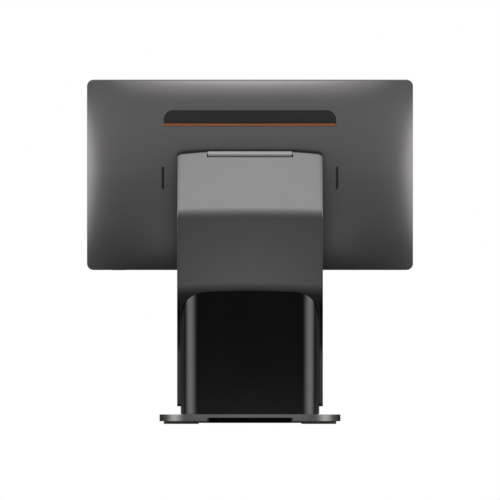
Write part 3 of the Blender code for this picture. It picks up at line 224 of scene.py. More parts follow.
class StandSizes(bpy.types.PropertyGroup):
    """Sizes of the neck, the leg and the cable cover. Drops are measured down from the hinge."""

    ear_radius: length("Ear radius", "Rounding of the neck's top about the hinge", 0.0048)
    upper_lean: lean("Upper lean", "Lean of the upper slope from upright", 30)
    lower_lean: lean("Lower lean", "Lean of the lower slope from upright", 16)
    under_lean: lean("Under lean", "Lean of the slope under the brow from upright", 45)
    knee_drop: length("Knee drop", "Drop of the bend between the two slopes", 0.0672)
    knee_radius: length("Knee radius", "Rounding of that bend", 0.019)
    brow_drop: length("Brow drop", "Drop of the edge above the cable cover", 0.1518)
    brow_radius: length("Brow radius", "Rounding of that edge", 0.0340)
    throat_radius: length("Throat radius", "Rounding between the brow and the leg", 0.0500)
    nape_drop: length("Nape drop", "Drop of the upper bend in front", 0.1432)
    chin_drop: length("Chin drop", "Drop of the lower bend in front", 0.1802)
    front_radius: length("Front radius", "Rounding of the two bends in front", 0.018)
    leg_back: length("Leg back", "Depth of the leg's back face", 0.0301)
    leg_depth: length("Leg depth", "Thickness of the leg", 0.024)
    leg_corner: length("Leg corner", "Rounding of the leg's lower edges", 0.003)
    crown_drop: length("Crown drop", "Fall of the neck's top from its middle to its sides", 0.0046)
    crown_fade: length("Crown fade", "Height below the hinge over which that fall fades out", 0.075)
    brow_bow: length("Brow bow", "Fall of the brow from its middle to its sides", 0.0035)
    bow_reach: length("Bow reach", "Height above and below the brow over which that fall fades out", 0.060)
    corner_fall: length("Corner fall", "Further fall of the neck's top at its two corners", 0.0028)
    corner_reach: length("Corner reach", "Distance from the sides over which the corners fall", 0.0045)
    wall: length("Wall", "Wall of the neck", 0.0025)
    edge: length("Edge", "Rounding of the neck's side edges", 0.0009)
    bridge_depth: length("Bridge depth", "Solid depth of the neck below the hinge", 0.0112)
    seam_depth: length("Seam depth", "Distance of the seam from the neck's front", 0.008)
    notch_depth: length("Notch depth", "Depth of the barrel's notch below the hinge", 0.0039)
    groove_radius: length("Groove radius", "Radius of the groove under the barrel", 0.0048)
    cover_corner: length("Cover corner", "Radius of the cable cover's rear corners", 0.0282)
    cover_wall: length("Cover wall", "Wall of the cable cover", 0.0020)
    tab_depth: length("Tab depth", "Thickness of the cable cover's tabs", 0.0014)
    tab_height: length("Tab height", "Height of the cable cover's tabs", 0.010)
    tab_reach: length("Tab reach", "Length of tab inside the leg", 0.006)
    tab_rise: length("Tab rise", "Height of the lower tabs above the cover's bottom", 0.0208)
    tab_pitch: length("Tab pitch", "Distance between the lower and the upper tabs", 0.048)
    pedestal_wall: length("Pedestal wall", "Wall of the collar under the leg", 0.002)
    # Painted shade in the neck's paint: the leg darker below the brow, and a painted shadow sliver at each
    # rear edge beside the cover
    leg_shade: share("Leg shade", "Share by which the leg's paint is darker than the neck's", 0.45)
    sliver_shade: share("Sliver shade", "Share by which the slivers beside the cover are darker again", 0.80)
    sliver_width: length("Sliver width", "Width of a dark sliver at the leg's edge", 0.0035)
    sliver_drop: length("Sliver drop", "Drop of the slivers' points", 0.2330)
    sliver_taper: length("Sliver taper", "Height over which a sliver comes to its point", 0.0200)
    sliver_top_drop: length("Sliver top drop", "Drop of the slivers' upper ends", 0.1690)


class BaseSizes(bpy.types.PropertyGroup):
    """Sizes of the base, its ballast, its feet, the sockets and the screws."""

    corner: length("Corner", "Radius of the base's corners", 0.0395)
    edge: length("Edge", "Rounding of the base's upper and lower edges", 0.00012)
    ballast_drop: length("Ballast drop", "Depth by which the ballast stands below the base", 0.0020)
    rim: length("Rim", "Width of the rim round the ballast", 0.005)
    exit_width: length("Exit width", "Width of the cable exit", 0.0981)
    exit_height: length("Exit height", "Height of the cable exit", 0.0042)
    exit_corner: length("Exit corner", "Radius of the cable exit's corners", 0.0025)
    well_width: length("Well width", "Width of the cable well under the cover", 0.072)
    well_margin: length("Well margin", "Distance of the cable well from the leg", 0.004)
    channel_width: length("Channel width", "Width of the cable channel in the ballast", 0.094)
    channel_front: length("Channel front", "Depth at which the cable channel starts", 0.0069)
    foot_chamfer: length("Foot chamfer", "Rounding of the feet's lower edges", 0.0006)
    foot_ring: length("Foot ring", "Width of the ring that a foot stands on", 0.005)
    foot_hollow: length("Foot hollow", "Depth of the hollow inside that ring", 0.0005)
    screw_radius: length("Screw radius", "Radius of a screw's shank", 0.0013)
    screw_head: length("Screw head", "Depth of a screw's head", 0.0012)
    cross_width: length("Cross width", "Width of the cross in a screw's head", 0.0006)
    cross_reach: length("Cross reach", "Span of the cross in a screw's head", 0.0030)
    socket_wall: length("Socket wall", "Rounding of the sockets' corners", 0.0006)


class FinishColours(bpy.types.PropertyGroup):
    """Colours of the finishes, as linear values."""

    gunmetal: colour("Gunmetal", "Metallic paint of the covers", (0.1045, 0.1005, 0.1015))
    neck_grey: colour("Neck grey", "Metallic paint of the neck and leg", (0.0725, 0.0713, 0.0716))
    base_grey: colour("Base grey", "Metallic paint of the base", (0.110, 0.111, 0.106))
    gloss_black: colour("Gloss black", "Cable cover", (0.0019, 0.0019, 0.0022))
    satin_black: colour("Satin black", "Window strip, frame and collar", (0.0055, 0.0053, 0.0056))
    accent: colour("Accent", "Line under the window strip", (0.195, 0.063, 0.026))
    glass: colour("Glass", "Printed border of the cover glass", (0.0018, 0.0018, 0.0020))
    picture: colour("Picture", "Switched-off picture area behind the glass", (0.018, 0.019, 0.021))
    steel: colour("Steel", "Plates, pins, screws and socket shells", (0.48, 0.47, 0.46))
    black_steel: colour("Black steel", "Phosphated ballast", (0.045, 0.045, 0.046))
    aluminium: colour("Aluminium", "Heat sink", (0.66, 0.66, 0.67))
    board: colour("Board", "Solder mask of the circuit boards", (0.008, 0.062, 0.026))
    copper: colour("Copper", "Tracks under the solder mask", (0.020, 0.120, 0.050))
    contact: colour("Contact", "Gilt contacts in the sockets", (0.78, 0.52, 0.18))
    insert: colour("Insert", "Plastic tongues in the sockets", (0.022, 0.022, 0.024))
    rubber: colour("Rubber", "Feet", (0.011, 0.011, 0.011))
    floor: colour("Floor", "Pale studio floor", (0.82, 0.82, 0.82))


class StudioSettings(bpy.types.PropertyGroup):
    """Camera, lamps and surroundings."""

    camera_distance: length("Camera distance", "Distance of the camera behind the object", 3.0)
    camera_height: length("Camera height", "Height of the camera above the floor", 0.1985)
    picture_span: length("Picture span", "Width that the picture takes in at the object", 0.5706)
    top_level: share("Top level", "Brightness of the large lamp above the camera", 2.3)
    side_level: share("Side level", "Brightness of the lamps at the sides", 5.6)
    ambient: share("Ambient", "Level of the surroundings' own light", 0.25)
    back_level: share("Back level", "Level of the dark part of the room, behind the camera", 0.08)
    horizon_level: share("Horizon level", "Level of the room all round, at the floor's height", 0.25)
    sky_level: share("Sky level", "Level of the room above the horizon, in reflections", 1.8)


def numbered(name, count):
    """Names of some like nodes, counted from 1."""
    return [name + str(index + 1) for index in range(count)]


def only(piece):
    """Make a piece the only selected and the active object."""
    bpy.ops.object.select_all(action="DESELECT")
    piece.select_set(True)
    bpy.context.view_layer.objects.active = piece


def mode(name):
    """Go to edit mode or to object mode."""
    bpy.ops.object.mode_set(mode=name)


def bake_place():
    """Put the place, turn and scale of the selected piece into its mesh."""
    bpy.ops.object.transform_apply(location=True, rotation=True, scale=True)


def fresh(name, primitive, **settings):
    """Add a named primitive with nothing else selected."""
    bpy.ops.object.select_all(action="DESELECT")
    primitive(**settings)
    piece = bpy.context.object
    piece.name = name
    piece.data.name = name
    return piece


def pick(piece, kind, wanted):
    """Enter edit mode with the edges selected whose two ends pass a test, or the faces whose normal does."""
    only(piece)
    mode("EDIT")
    bpy.ops.mesh.select_mode(type=kind)
    bpy.ops.mesh.select_all(action="DESELECT")
    mode("OBJECT")
    points = piece.data.vertices
    if kind == "EDGE":
        for edge in piece.data.edges:
            edge.select = wanted(*(points[end].co for end in edge.vertices))
    else:
        for face in piece.data.polygons:
            face.select = wanted(face.normal)
    mode("EDIT")


def point_outwards():
    """Turn all normals of the piece being edited outwards, and leave edit mode."""
    bpy.ops.mesh.select_all(action="SELECT")
    bpy.ops.mesh.normals_make_consistent(inside=False)
    mode("OBJECT")


def runs_along(axis):
    """Test for edges that run along an axis."""
    return lambda a, b: abs((b - a).normalized()[axis]) > NEARLY_PARALLEL


def lies_at(axis, *levels):
    """Test for edges that lie at one of some levels of an axis."""
    return lambda a, b: any(abs(a[axis] - level) < NEAR and abs(b[axis] - level) < NEAR for level in levels)


def passes(*tests):
    """Test for edges that pass all of some tests."""
    return lambda a, b: all(test(a, b) for test in tests)


def round_edges(piece, wanted, radius, segments=RIM_SEGMENTS):
    """Round the edges that pass a test."""
    pick(piece, "EDGE", wanted)
    bpy.ops.mesh.bevel(offset=radius, segments=segments, affect="EDGES", clamp_overlap=False)
    mode("OBJECT")


def box(name, low, high):
    """Plain box between two corners, as a start."""
    low, high = Vector(low), Vector(high)
    piece = fresh(name, bpy.ops.mesh.primitive_cube_add, size=1, location=(low + high) / 2)
    piece.scale = high - low
    bake_place()
    return piece


def rounded_box(name, low, high, axis, corner, rim=0, segments=CORNER_SEGMENTS):
    """Box whose edges along an axis have a radius, and whose two rims are softened."""
    piece = box(name, low, high)
    round_edges(piece, runs_along(axis), corner, segments)
    if rim:
        round_edges(piece, lies_at(axis, low[axis], high[axis]), rim)
    return piece


def soft_box(name, low, high, edge):
    """Box with all its edges softened."""
    piece = box(name, low, high)
    round_edges(piece, passes(), edge)
    return piece


def arched_box(name, low, high, corner):
    """Box along Y whose two upper edges have a radius."""
    piece = box(name, low, high)
    round_edges(piece, passes(lies_at(Z, high[Z]), runs_along(Y)), corner, CORNER_SEGMENTS)
    return piece


def round_bar(name, low, high, axis, rim=0):
    """Round bar along an axis that fills the box between two corners."""
    low, high = Vector(low), Vector(high)
    turn = [0, 0, 0]
    if axis != Z:
        turn[Y - axis] = math.pi / 2
    size = high - low
    piece = fresh(name, bpy.ops.mesh.primitive_cylinder_add, vertices=ROUND_SIDES, radius=size[axis - 1] / 2,
                  depth=size[axis], location=(low + high) / 2, rotation=turn)
    bake_place()
    if rim:
        round_edges(piece, lies_at(axis, low[axis], high[axis]), rim)
    return piece


def about(middle, *reach):
    """Corners of a box about its middle, by its reach along each axis."""
    return Vector(middle) - Vector(reach), Vector(middle) + Vector(reach)


def grown(corners, *amounts):
    """Box corners moved outwards by an amount along each axis."""
    step = Vector(amounts if len(amounts) > 1 else amounts * 3)
    return corners[0] - step, corners[1] + step


def spread(low, high, **changes):
    """Box corners with some of their levels changed, such as low_z."""
    corners = {"low": Vector(low), "high": Vector(high)}
    for key, value in changes.items():
        end, axis = key.split("_")
        corners[end]["xyz".index(axis)] = value
    return corners["low"], corners["high"]


def screw_hole(corners, axis, start, stop, radius):
    """Round tool along a screw that has a box, between two levels of its axis."""
    low, high = about((corners[0] + corners[1]) / 2, radius, radius, radius)
    low[axis] = start
    high[axis] = stop
    return round_bar("screw_hole", low, high, axis)


def joined(pieces):
    """Make several tools one."""
    only(pieces[0])
    for piece in pieces:
        piece.select_set(True)
    bpy.ops.object.join()
    return pieces[0]


def modify(piece, kind, **settings):
    """Give a piece a modifier with some settings, and apply it."""
    only(piece)
    bpy.ops.object.modifier_add(type=kind)
    modifier = piece.modifiers[-1]
    for key, value in settings.items():
        setattr(modifier, key, value)
    bpy.ops.object.modifier_apply(modifier=modifier.name)


def combine(piece, tool, operation="DIFFERENCE"):
    """Cut a piece by a tool, join them or keep what they share, and put the tool away."""
    modify(piece, "BOOLEAN", operation=operation, object=tool)
    bpy.data.objects.remove(tool)


def open_up(piece, wanted, wall):
    """Take away the faces whose normals pass a test, and give the skin that is left a wall inwards."""
    pick(piece, "FACE", wanted)
    bpy.ops.mesh.delete(type="FACE")
    mode("OBJECT")
    modify(piece, "SOLIDIFY", thickness=wall, offset=-1, use_even_offset=True)


def hand_over(piece, look, body, *nodes, slot=None, crisp=True):
    """Place, shade and finish a piece, and let it ride on its body in place of its solids."""
    only(piece)
    if body in TILTED_BODIES:
        piece.rotation_euler = (-TILT, 0, 0)
        piece.location = HINGE
        bake_place()
    bpy.ops.object.shade_smooth_by_angle(angle=SMOOTH_ANGLE)
    if crisp:
        modify(piece, "WEIGHTED_NORMAL", keep_sharp=True)
    piece.data.materials.clear()
    piece.data.materials.append(finish(look))
    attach(piece, body)
    if nodes:
        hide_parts(*nodes)


def flat_box(node):
    """Lowest and highest corner of a display solid, with the display turned upright about its hinge."""
    upright = Matrix.Rotation(TILT, 3, "X")
    points = [upright @ (vertex.co - HINGE) for vertex in frame["nodes"][node].data.vertices]
    return [Vector([end(point[axis] for point in points) for axis in (X, Y, Z)]) for end in (min, max)]


class Tree:
    """Node tree of a material, a lamp or the world, filled one node at a time."""

    def __init__(self, owner):
        owner.use_nodes = True
        self.nodes = owner.node_tree.nodes
        self.links = owner.node_tree.links

    def feed(self, socket, value):
        """Set a socket, or link a wire to it."""
        if isinstance(value, Wire):
            self.links.new(value.socket, socket)
        else:
            socket.default_value = value

    def node(self, kind, settings=None, sockets=None, output=0):
        """Add a node with its settings and its sockets' values or wires, and give one of its outputs."""
        made = self.nodes.new("ShaderNode" + kind)
        for key, value in (settings or {}).items():
            setattr(made, key, value)
        for key, value in (sockets or {}).items():
            self.feed(made.inputs[key], value)
        return Wire(self, made.outputs[output])

    def vector(self, operation, *values):
        """Add a Vector Math node."""
        output = "Value" if operation == "LENGTH" else "Vector"
        return self.node("VectorMath", {"operation": operation}, dict(enumerate(values)), output)

    def along(self, vector, axis):
        """One axis of a vector."""
        return self.node("SeparateXYZ", sockets={"Vector": vector}, output=axis)

    def step(self, value, start, stop, first=0, last=1):
        """Smooth step of a wire from one level to another, between two values."""
        return self.node("MapRange", {"interpolation_type": "SMOOTHSTEP"},
                         {"Value": value, "From Min": start, "From Max": stop,
                          "To Min": first, "To Max": last})

    def rays(self):
        """Whether a ray comes from the camera or through glass, and whether it is a reflection."""
        camera, through, glossy = [self.node("LightPath", output="Is " + kind + " Ray")
                                   for kind in ("Camera", "Transmission", "Glossy")]
        return camera + through, glossy


def arithmetic(operation, swapped=False):
    """Operator of a wire that adds a Math node, with its two sides swapped for a wire on the right."""
    def reckon(wire, other=0):
        first, second = (other, wire) if swapped else (wire, other)
        return wire.tree.node("Math", {"operation": operation}, {0: first, 1: second})
    return reckon


class Wire:
    """Output of a node, whose arithmetic adds Math nodes."""

    def __init__(self, tree, socket):
        self.tree = tree
        self.socket = socket

    __add__ = arithmetic("ADD")
    __radd__ = arithmetic("ADD", swapped=True)
    __sub__ = arithmetic("SUBTRACT")
    __rsub__ = arithmetic("SUBTRACT", swapped=True)
    __mul__ = arithmetic("MULTIPLY")
    __rmul__ = arithmetic("MULTIPLY", swapped=True)
    __truediv__ = arithmetic("DIVIDE")
    __lt__ = arithmetic("LESS_THAN")
    __abs__ = arithmetic("ABSOLUTE")


class Finish(Tree):
    """Principled material with a pattern on the object's own coordinates."""

    def __init__(self, name, metallic=0.0, ior=1.5):
        self.material = bpy.data.materials.new(name)
        super().__init__(self.material)
        self.shader = self.nodes["Principled BSDF"]
        self.set("Metallic", metallic)
        self.set("IOR", ior)
        self.place = self.node("TexCoord", output="Object")

    def noise(self, scale, detail, stretch=None):
        """Noise of a number of cells in each metre, drawn out along some axes."""
        place = self.place
        if stretch:
            place = self.node("Mapping", sockets={"Vector": place, "Scale": stretch})
        return self.node("TexNoise", sockets={"Vector": place, "Scale": scale, "Detail": detail})

    def set(self, socket, value):
        """Set or wire a socket of the shader."""
        self.feed(self.shader.inputs[socket], value)

    def shade(self, tone, strength):
        """Base colour of one tone whose brightness follows a wire."""
        self.set("Base Color", self.node("VectorMath", {"operation": "SCALE"}, {0: tone, "Scale": strength}))

    def blend(self, share, first, second):
        """Mix a colour, or the wire of one, with another colour by a wire."""
        if not isinstance(first, Wire):
            first = (*first, 1)
        return self.node("Mix", {"data_type": "RGBA"}, {0: share, 6: first, 7: (*second, 1)}, output=2)

    def bump(self, height, depth, strength):
        """Raise the surface by a wire, to a depth in metres."""
        sockets = {"Height": height, "Distance": depth, "Strength": strength}
        self.set("Normal", self.node("Bump", sockets=sockets))


def grained(name, tone, grain, shade, gloss, relief=None, **kind):
    """Finish of one tone whose brightness, roughness and height follow one grain."""
    look = Finish(name, **kind)
    pattern = look.noise(*grain)
    look.shade(tone, shade[0] + shade[1] * pattern)
    look.set("Roughness", gloss[0] + gloss[1] * pattern)
    if relief:
        look.bump(pattern, *relief)
    return look.material


def leg_shading(look):
    """Share of the neck's colour left by painted shade: darker on the leg below the brow, and a painted
    shadow sliver down each rear edge.
    """
    sizes = bpy.context.scene.stand_sizes
    inner_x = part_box("neck_rear_cover")[1].x - sizes.sliver_width
    inner_y = sizes.leg_back - sizes.sliver_width
    tip_z = HINGE.z - sizes.sliver_drop
    top_z = HINGE.z - sizes.sliver_top_drop
    across, back, upward = [look.along(look.place, axis) for axis in "XYZ"]
    # Painted shade on the leg below the brow, and a painted shadow sliver at each rear edge beside the cover
    below_brow = 1 - look.step(upward, top_z - sizes.sliver_taper / 2, top_z + sizes.sliver_taper / 2)
    at_edge = look.step(abs(across), inner_x - CLEARANCE, inner_x + CLEARANCE)
    at_back = look.step(back, inner_y, sizes.leg_back - sizes.sliver_width / 2)
    sliver = below_brow * at_edge * at_back * look.step(upward, tip_z, tip_z + sizes.sliver_taper)
    return (1 - sizes.leg_shade * below_brow) * (1 - sizes.sliver_shade * sliver)


def metallic_paint(name, tone, roughness, shading=None):
    """Smooth metallic paint: fine flakes, a faint cloudiness in its gloss, and any painted shade passed in to
    darken its colour.
    """
    look = Finish(name, metallic=1.0)
    look.set("Specular Tint", GRAZING_TINT)
    cloud = look.noise(16, 3)
    flake = look.noise(2400, 1)
    strength = 0.93 + 0.05 * cloud + 0.09 * flake
    if shading:
        strength = strength * shading(look)
    look.shade(tone, strength)
    look.set("Roughness", roughness + 0.04 * cloud)
    look.bump(flake, 0.000012, 0.35)
    return look.material


def gunmetal_paint(tones):
    """Paint of the covers."""
    return metallic_paint("gunmetal_paint", tones.gunmetal, 0.345)


def neck_grey_paint(tones):
    """Darker paint of the neck and leg, with painted shade on the leg and painted shadow slivers beside the
    cover.
    """
    return metallic_paint("neck_grey_paint", tones.neck_grey, 0.36, leg_shading)


def base_grey_paint(tones):
    """Lighter and greener paint of the base."""
    return metallic_paint("base_grey_paint", tones.base_grey, 0.26)


def gloss_black_shell(tones):
    """Polished black moulding with the faintest waviness."""
    look = Finish("gloss_black_shell", ior=1.345)
    cloud = look.noise(22, 3)
    grain = look.noise(900, 2)
    look.shade(tones.gloss_black, 0.8 + 0.4 * cloud)
    look.set("Roughness", 0.06 + 0.02 * cloud + 0.02 * grain)
    look.bump(cloud, 0.00003, 0.2)
    return look.material


def satin_black_moulding(tones):
    """Fine-grained black moulding."""
    look = Finish("satin_black_moulding", ior=1.31)
    grain = look.noise(1700, 3)
    cloud = look.noise(30, 2)
    look.shade(tones.satin_black, 0.85 + 0.3 * cloud * grain)
    look.set("Roughness", 0.46 + 0.12 * grain)
    look.bump(grain, 0.00003, 0.5)
    return look.material


def accent_lacquer(tones):
    """Satin lacquer of the accent line."""
    return grained("accent_lacquer", tones.accent, grain=(1500, 2), shade=(0.94, 0.12), gloss=(0.38, 0.08),
                   relief=(0.000015, 0.4), ior=1.31)


def printed_glass(tones):
    """Black printed glass, a little greyer over the switched-off picture."""
    look = Finish("printed_glass", ior=1.40)
    sizes = bpy.context.scene.display_sizes
    low, high = flat_box("cover_glass")
    middle = Matrix.Rotation(-TILT, 3, "X") @ ((low + high) / 2) + HINGE
    place = look.node("Mapping", {"vector_type": "TEXTURE"},
                      {"Vector": look.place, "Location": middle, "Rotation": (-TILT, 0, 0)})
    inside = abs(look.along(place, "X")) < sizes.picture_width / 2
    inside = inside * (abs(look.along(place, "Z")) < sizes.picture_height / 2)
    look.set("Base Color", look.blend(inside, tones.glass, tones.picture))
    look.set("Roughness", 0.035 + 0.05 * inside + 0.03 * look.noise(9, 4))
    return look.material


def brushed_steel(tones):
    """Sheet steel with fine rolling lines."""
    look = Finish("brushed_steel", metallic=1.0)
    line = look.noise(900, 2, (0.02, 1, 1))
    cloud = look.noise(25, 3)
    look.shade(tones.steel, 0.86 + 0.16 * line + 0.1 * cloud)
    look.set("Roughness", 0.3 + 0.14 * line)
    look.bump(line, 0.00001, 0.5)
    return look.material


def phosphated_steel(tones):
    """Ballast steel with a dull black phosphate skin."""
    look = Finish("phosphated_steel", ior=1.4)
    grain = look.noise(700, 4)
    cloud = look.noise(18, 3)
    look.shade(tones.black_steel, 0.6 + 0.5 * grain + 0.3 * cloud)
    look.set("Roughness", 0.62 + 0.2 * grain)
    look.bump(grain, 0.00003, 0.4)
    return look.material


def sink_aluminium(tones):
    """Extruded aluminium with lines along its fins."""
    return grained("sink_aluminium", tones.aluminium, grain=(1100, 2, (1, 1, 0.02)), shade=(0.88, 0.2),
                   gloss=(0.34, 0.12), relief=(0.00001, 0.5), metallic=1.0)


def circuit_board(tones):
    """Green solder mask with tracks and plated holes."""
    look = Finish("circuit_board")
    flat = look.node("Mapping", sockets={"Vector": look.place, "Rotation": (math.pi / 2, 0, 0)})
    black, white = (0, 0, 0, 1), (1, 1, 1, 1)
    track = look.node("TexBrick", {"offset": 0.37, "squash": 0.6},
                      {"Vector": flat, "Scale": 210, "Mortar Size": 0.06, "Color1": black, "Color2": black,
                       "Mortar": white}, output="Fac")
    hole = look.node("TexVoronoi", sockets={"Vector": look.place, "Scale": 320}) < 0.16
    look.set("Base Color", look.blend(hole, look.blend(track, tones.board, tones.copper), tones.contact))
    look.set("Metallic", hole)
    look.set("Roughness", 0.42 - 0.12 * hole)
    look.bump(track - hole, 0.00003, 0.5)
    return look.material


def gilt_contact(tones):
    """Thin gold plating of the sockets' contacts."""
    return grained("gilt_contact", tones.contact, grain=(1400, 2, (1, 1, 0.05)), shade=(0.9, 0.2),
                   gloss=(0.22, 0.1), metallic=1.0)


def socket_plastic(tones):
    """Plain black plastic of the tongues in the sockets."""
    return grained("socket_plastic", tones.insert, grain=(2200, 2), shade=(0.9, 0.2), gloss=(0.4, 0.1),
                   relief=(0.00002, 0.4))


def foot_rubber(tones):
    """Dull rubber with a fine cast grain."""
    return grained("foot_rubber", tones.rubber, grain=(2600, 3), shade=(0.8, 0.4), gloss=(0.78, 0.14),
                   relief=(0.00004, 0.6), ior=1.45)


FINISHES = {
    "gunmetal": gunmetal_paint,
    "neck_grey": neck_grey_paint,
    "base_grey": base_grey_paint,
    "gloss_black": gloss_black_shell,
    "satin_black": satin_black_moulding,
    "accent": accent_lacquer,
    "glass": printed_glass,
    "steel": brushed_steel,
    "black_steel": phosphated_steel,
    "aluminium": sink_aluminium,
    "board": circuit_board,
    "contact": gilt_contact,
    "insert": socket_plastic,
    "rubber": foot_rubber,
}


def finish(look):
    """Material of a finish, made the first time that it is asked for."""
    maker = FINISHES[look]
    return bpy.data.materials.get(maker.__name__) or maker(bpy.context.scene.finish_colours)


class StudioOperator(bpy.types.Operator):
    """Set up the floor, the soft lamps, the room and the camera behind the object"""

    bl_idname = "counter.studio"
    bl_label = "Studio"

    def execute(self, context):
        scene = context.scene
        settings = scene.studio_settings
        self.lay_floor(scene.finish_colours.floor)
        for name, place, target, size, soft_shares, level in LAMPS:
            self.hang_lamp(name, Vector(place), Vector(target), size, soft_shares, getattr(settings, level))
        self.light_room(scene, settings)
        self.place_camera(scene, settings)
        scene.view_settings.view_transform = "Standard"
        return {"FINISHED"}

    def lay_floor(self, tone):
        """Pale floor that shows white in the picture, glows in reflections with painted shade near the object
        and painted pools of light, and keeps the shadow.
        """
        floor = fresh("floor", bpy.ops.mesh.primitive_plane_add, size=FLOOR_SIZE)
        material = bpy.data.materials.new("studio_floor")
        tree = Tree(material)
        paint = tree.node("BsdfDiffuse", sockets={"Color": (*tone, 1)})
        seen, mirrored = tree.rays()
        place = tree.node("TexCoord", output="Object")
        # Brightness in reflections by distance from the object: painted shade close to it
        distance = tree.vector("LENGTH", place) / FLOOR_RAMP_SPAN
        level = tree.node("ValToRGB", sockets={"Fac": distance})
        stops = tree.nodes[-1].color_ramp.elements
        while len(stops) < len(FLOOR_REFLECTED_SHADE_RAMP):
            stops.new(1)
        for stop, (reach, brightness) in zip(stops, FLOOR_REFLECTED_SHADE_RAMP):
            stop.position = reach / FLOOR_RAMP_SPAN
            stop.color = (brightness, brightness, brightness, 1)
        folded = tree.vector("ABSOLUTE", tree.vector("MULTIPLY", place, (1, 0, 0)))
        folded = tree.vector("MULTIPLY_ADD", place, (0, 1, 0), folded)
        # Painted pools of light, added to that brightness
        for centre, reach, brightness in FLOOR_PAINTED_LIGHT_POOLS:
            apart = tree.vector("DIVIDE", tree.vector("SUBTRACT", folded, centre), reach)
            level = level + tree.step(tree.vector("LENGTH", apart), 0, 1, brightness, 0)
        # Glow: white for the camera, and the painted light and shade for reflections
        floor_glow_and_painted_light = tree.node("Emission", sockets={"Strength": seen + mirrored * level})
        mixed = tree.node("MixShader", sockets={0: seen * FLOOR_GLOW + mirrored, 1: paint, 2: floor_glow_and_painted_light})
        tree.feed(tree.nodes["Material Output"].inputs["Surface"], mixed)
        floor.data.materials.append(material)

    def hang_lamp(self, name, place, target, size, soft_shares, level):
        """Rectangular lamp that faces a point, fades towards its edges and stays out of the picture."""
        bpy.ops.object.light_add(type="AREA", location=place)
        lamp = bpy.context.object
        lamp.name = name
        lamp.rotation_euler = (target - place).to_track_quat("-Z", "Y").to_euler()
        lamp.data.shape = "RECTANGLE"
        lamp.data.size, lamp.data.size_y = size
        lamp.data.energy = level * math.pi * size[0] * size[1]
        lamp.visible_camera = False
        tree = Tree(lamp.data)
        strength = 1
        for axis, soft in zip("XY", soft_shares):
            if soft:
                along = tree.along(tree.node("NewGeometry", output="Parametric"), axis)
                strength = strength * tree.step(0.5 - abs(along - 0.5), 0, soft)
        tree.feed(tree.nodes["Emission"].inputs["Strength"], strength)

    def light_room(self, scene, settings):
        """White room, dark round the horizon and darkest behind the camera, which black gloss mirrors."""
        scene.world = bpy.data.worlds.new("studio_room")
        tree = Tree(scene.world)
        way = tree.node("TexCoord", output="Generated")
        upward = tree.along(way, "Z")
        ring = tree.step(tree.along(way, "Y"), *BACK_SPAN, settings.horizon_level, settings.back_level)
        sky = settings.sky_level * (SKY_LOW + SKY_RISE * upward)
        seen, mirrored = tree.rays()
        level = seen + mirrored * (ring + (sky - ring) * tree.step(upward, *HORIZON_SPAN))
        background = tree.nodes["Background"].inputs
        tree.feed(background["Strength"], level + (1 - seen - mirrored) * settings.ambient)
        tree.feed(background["Color"], (1, 1, 1, 1))

    def place_camera(self, scene, settings):
        """Camera straight behind the object, level with the floor and without perspective."""
        place = (0, settings.camera_distance, settings.camera_height)
        bpy.ops.object.camera_add(location=place, rotation=(math.pi / 2, 0, math.pi))
        scene.camera = bpy.context.object
        scene.camera.data.type = "ORTHO"
        scene.camera.data.ortho_scale = settings.picture_span


def dome_share(sizes, height, inset, edge):
    """Share of the dome's full rise at a distance in from an edge: a broad crown, then a sudden fall."""
    outwards = 1 - min(2 * inset / height, 1)
    return 1 - edge * outwards ** sizes.edge_power - (1 - edge) * outwards ** sizes.crown_power


def display_dome(name, sizes, sink=0):
    """Closed form of the display's back, lowered by a depth: a grid, extruded, domed and rounded."""
    low, high = flat_box("rear_cover")
    middle_z = (low.z + high.z) / 2
    half_x = (high.x - low.x) / 2
    half_z = (high.z - low.z) / 2
    rim_y = low.y + sizes.cover_rim
    piece = fresh(name, bpy.ops.mesh.primitive_grid_add, x_subdivisions=DOME_COLUMNS,
                  y_subdivisions=DOME_ROWS, size=2, location=(0, rim_y, 0), rotation=(math.pi / 2, 0, 0))
    bake_place()
    mode("EDIT")
    bpy.ops.mesh.select_all(action="SELECT")
    bpy.ops.mesh.extrude_region_move(TRANSFORM_OT_translate={"value": (0, -sizes.cover_rim, 0)})
    point_outwards()
    for vertex in piece.data.vertices:
        across = 1 - (1 - abs(vertex.co.x)) ** DOME_CROWDING
        upward = 1 - (1 - abs(vertex.co.z)) ** DOME_CROWDING
        if vertex.co.y > rim_y - NEAR:
            from_side = (1 - across) * half_x * (1 - sizes.side_fade * upward ** SIDE_FADE_POWER)
            from_end = (1 - upward) * half_z * (1 - sizes.end_fade * across ** END_FADE_POWER)
            rise = dome_share(sizes, 2 * half_z, from_side, sizes.side_edge)
            rise *= dome_share(sizes, 2 * half_z, from_end, sizes.end_edge)
            vertex.co.y += sizes.cover_rise * rise
        x, z = across * half_x, upward * half_z
        past_x = (x - half_x) / sizes.corner + 1
        past_z = (z - half_z) / sizes.corner + 1
        if past_x > 0 and past_z > 0:
            x += sizes.corner * past_x * (math.sqrt(1 - past_z ** 2 / 2) - 1)
            z += sizes.corner * past_z * (math.sqrt(1 - past_x ** 2 / 2) - 1)
        vertex.co.x = math.copysign(x, vertex.co.x)
        vertex.co.z = middle_z + math.copysign(z, vertex.co.z)
        vertex.co.y -= sink
    return piece


def window_box(node, sizes):
    """Box of the window strip or of the line under it, a little lower and narrower than its solid."""
    drop = Vector((0, 0, sizes.window_drop))
    low, high = grown(flat_box(node), -sizes.window_inset, 0, 0)
    return low - drop, high - drop


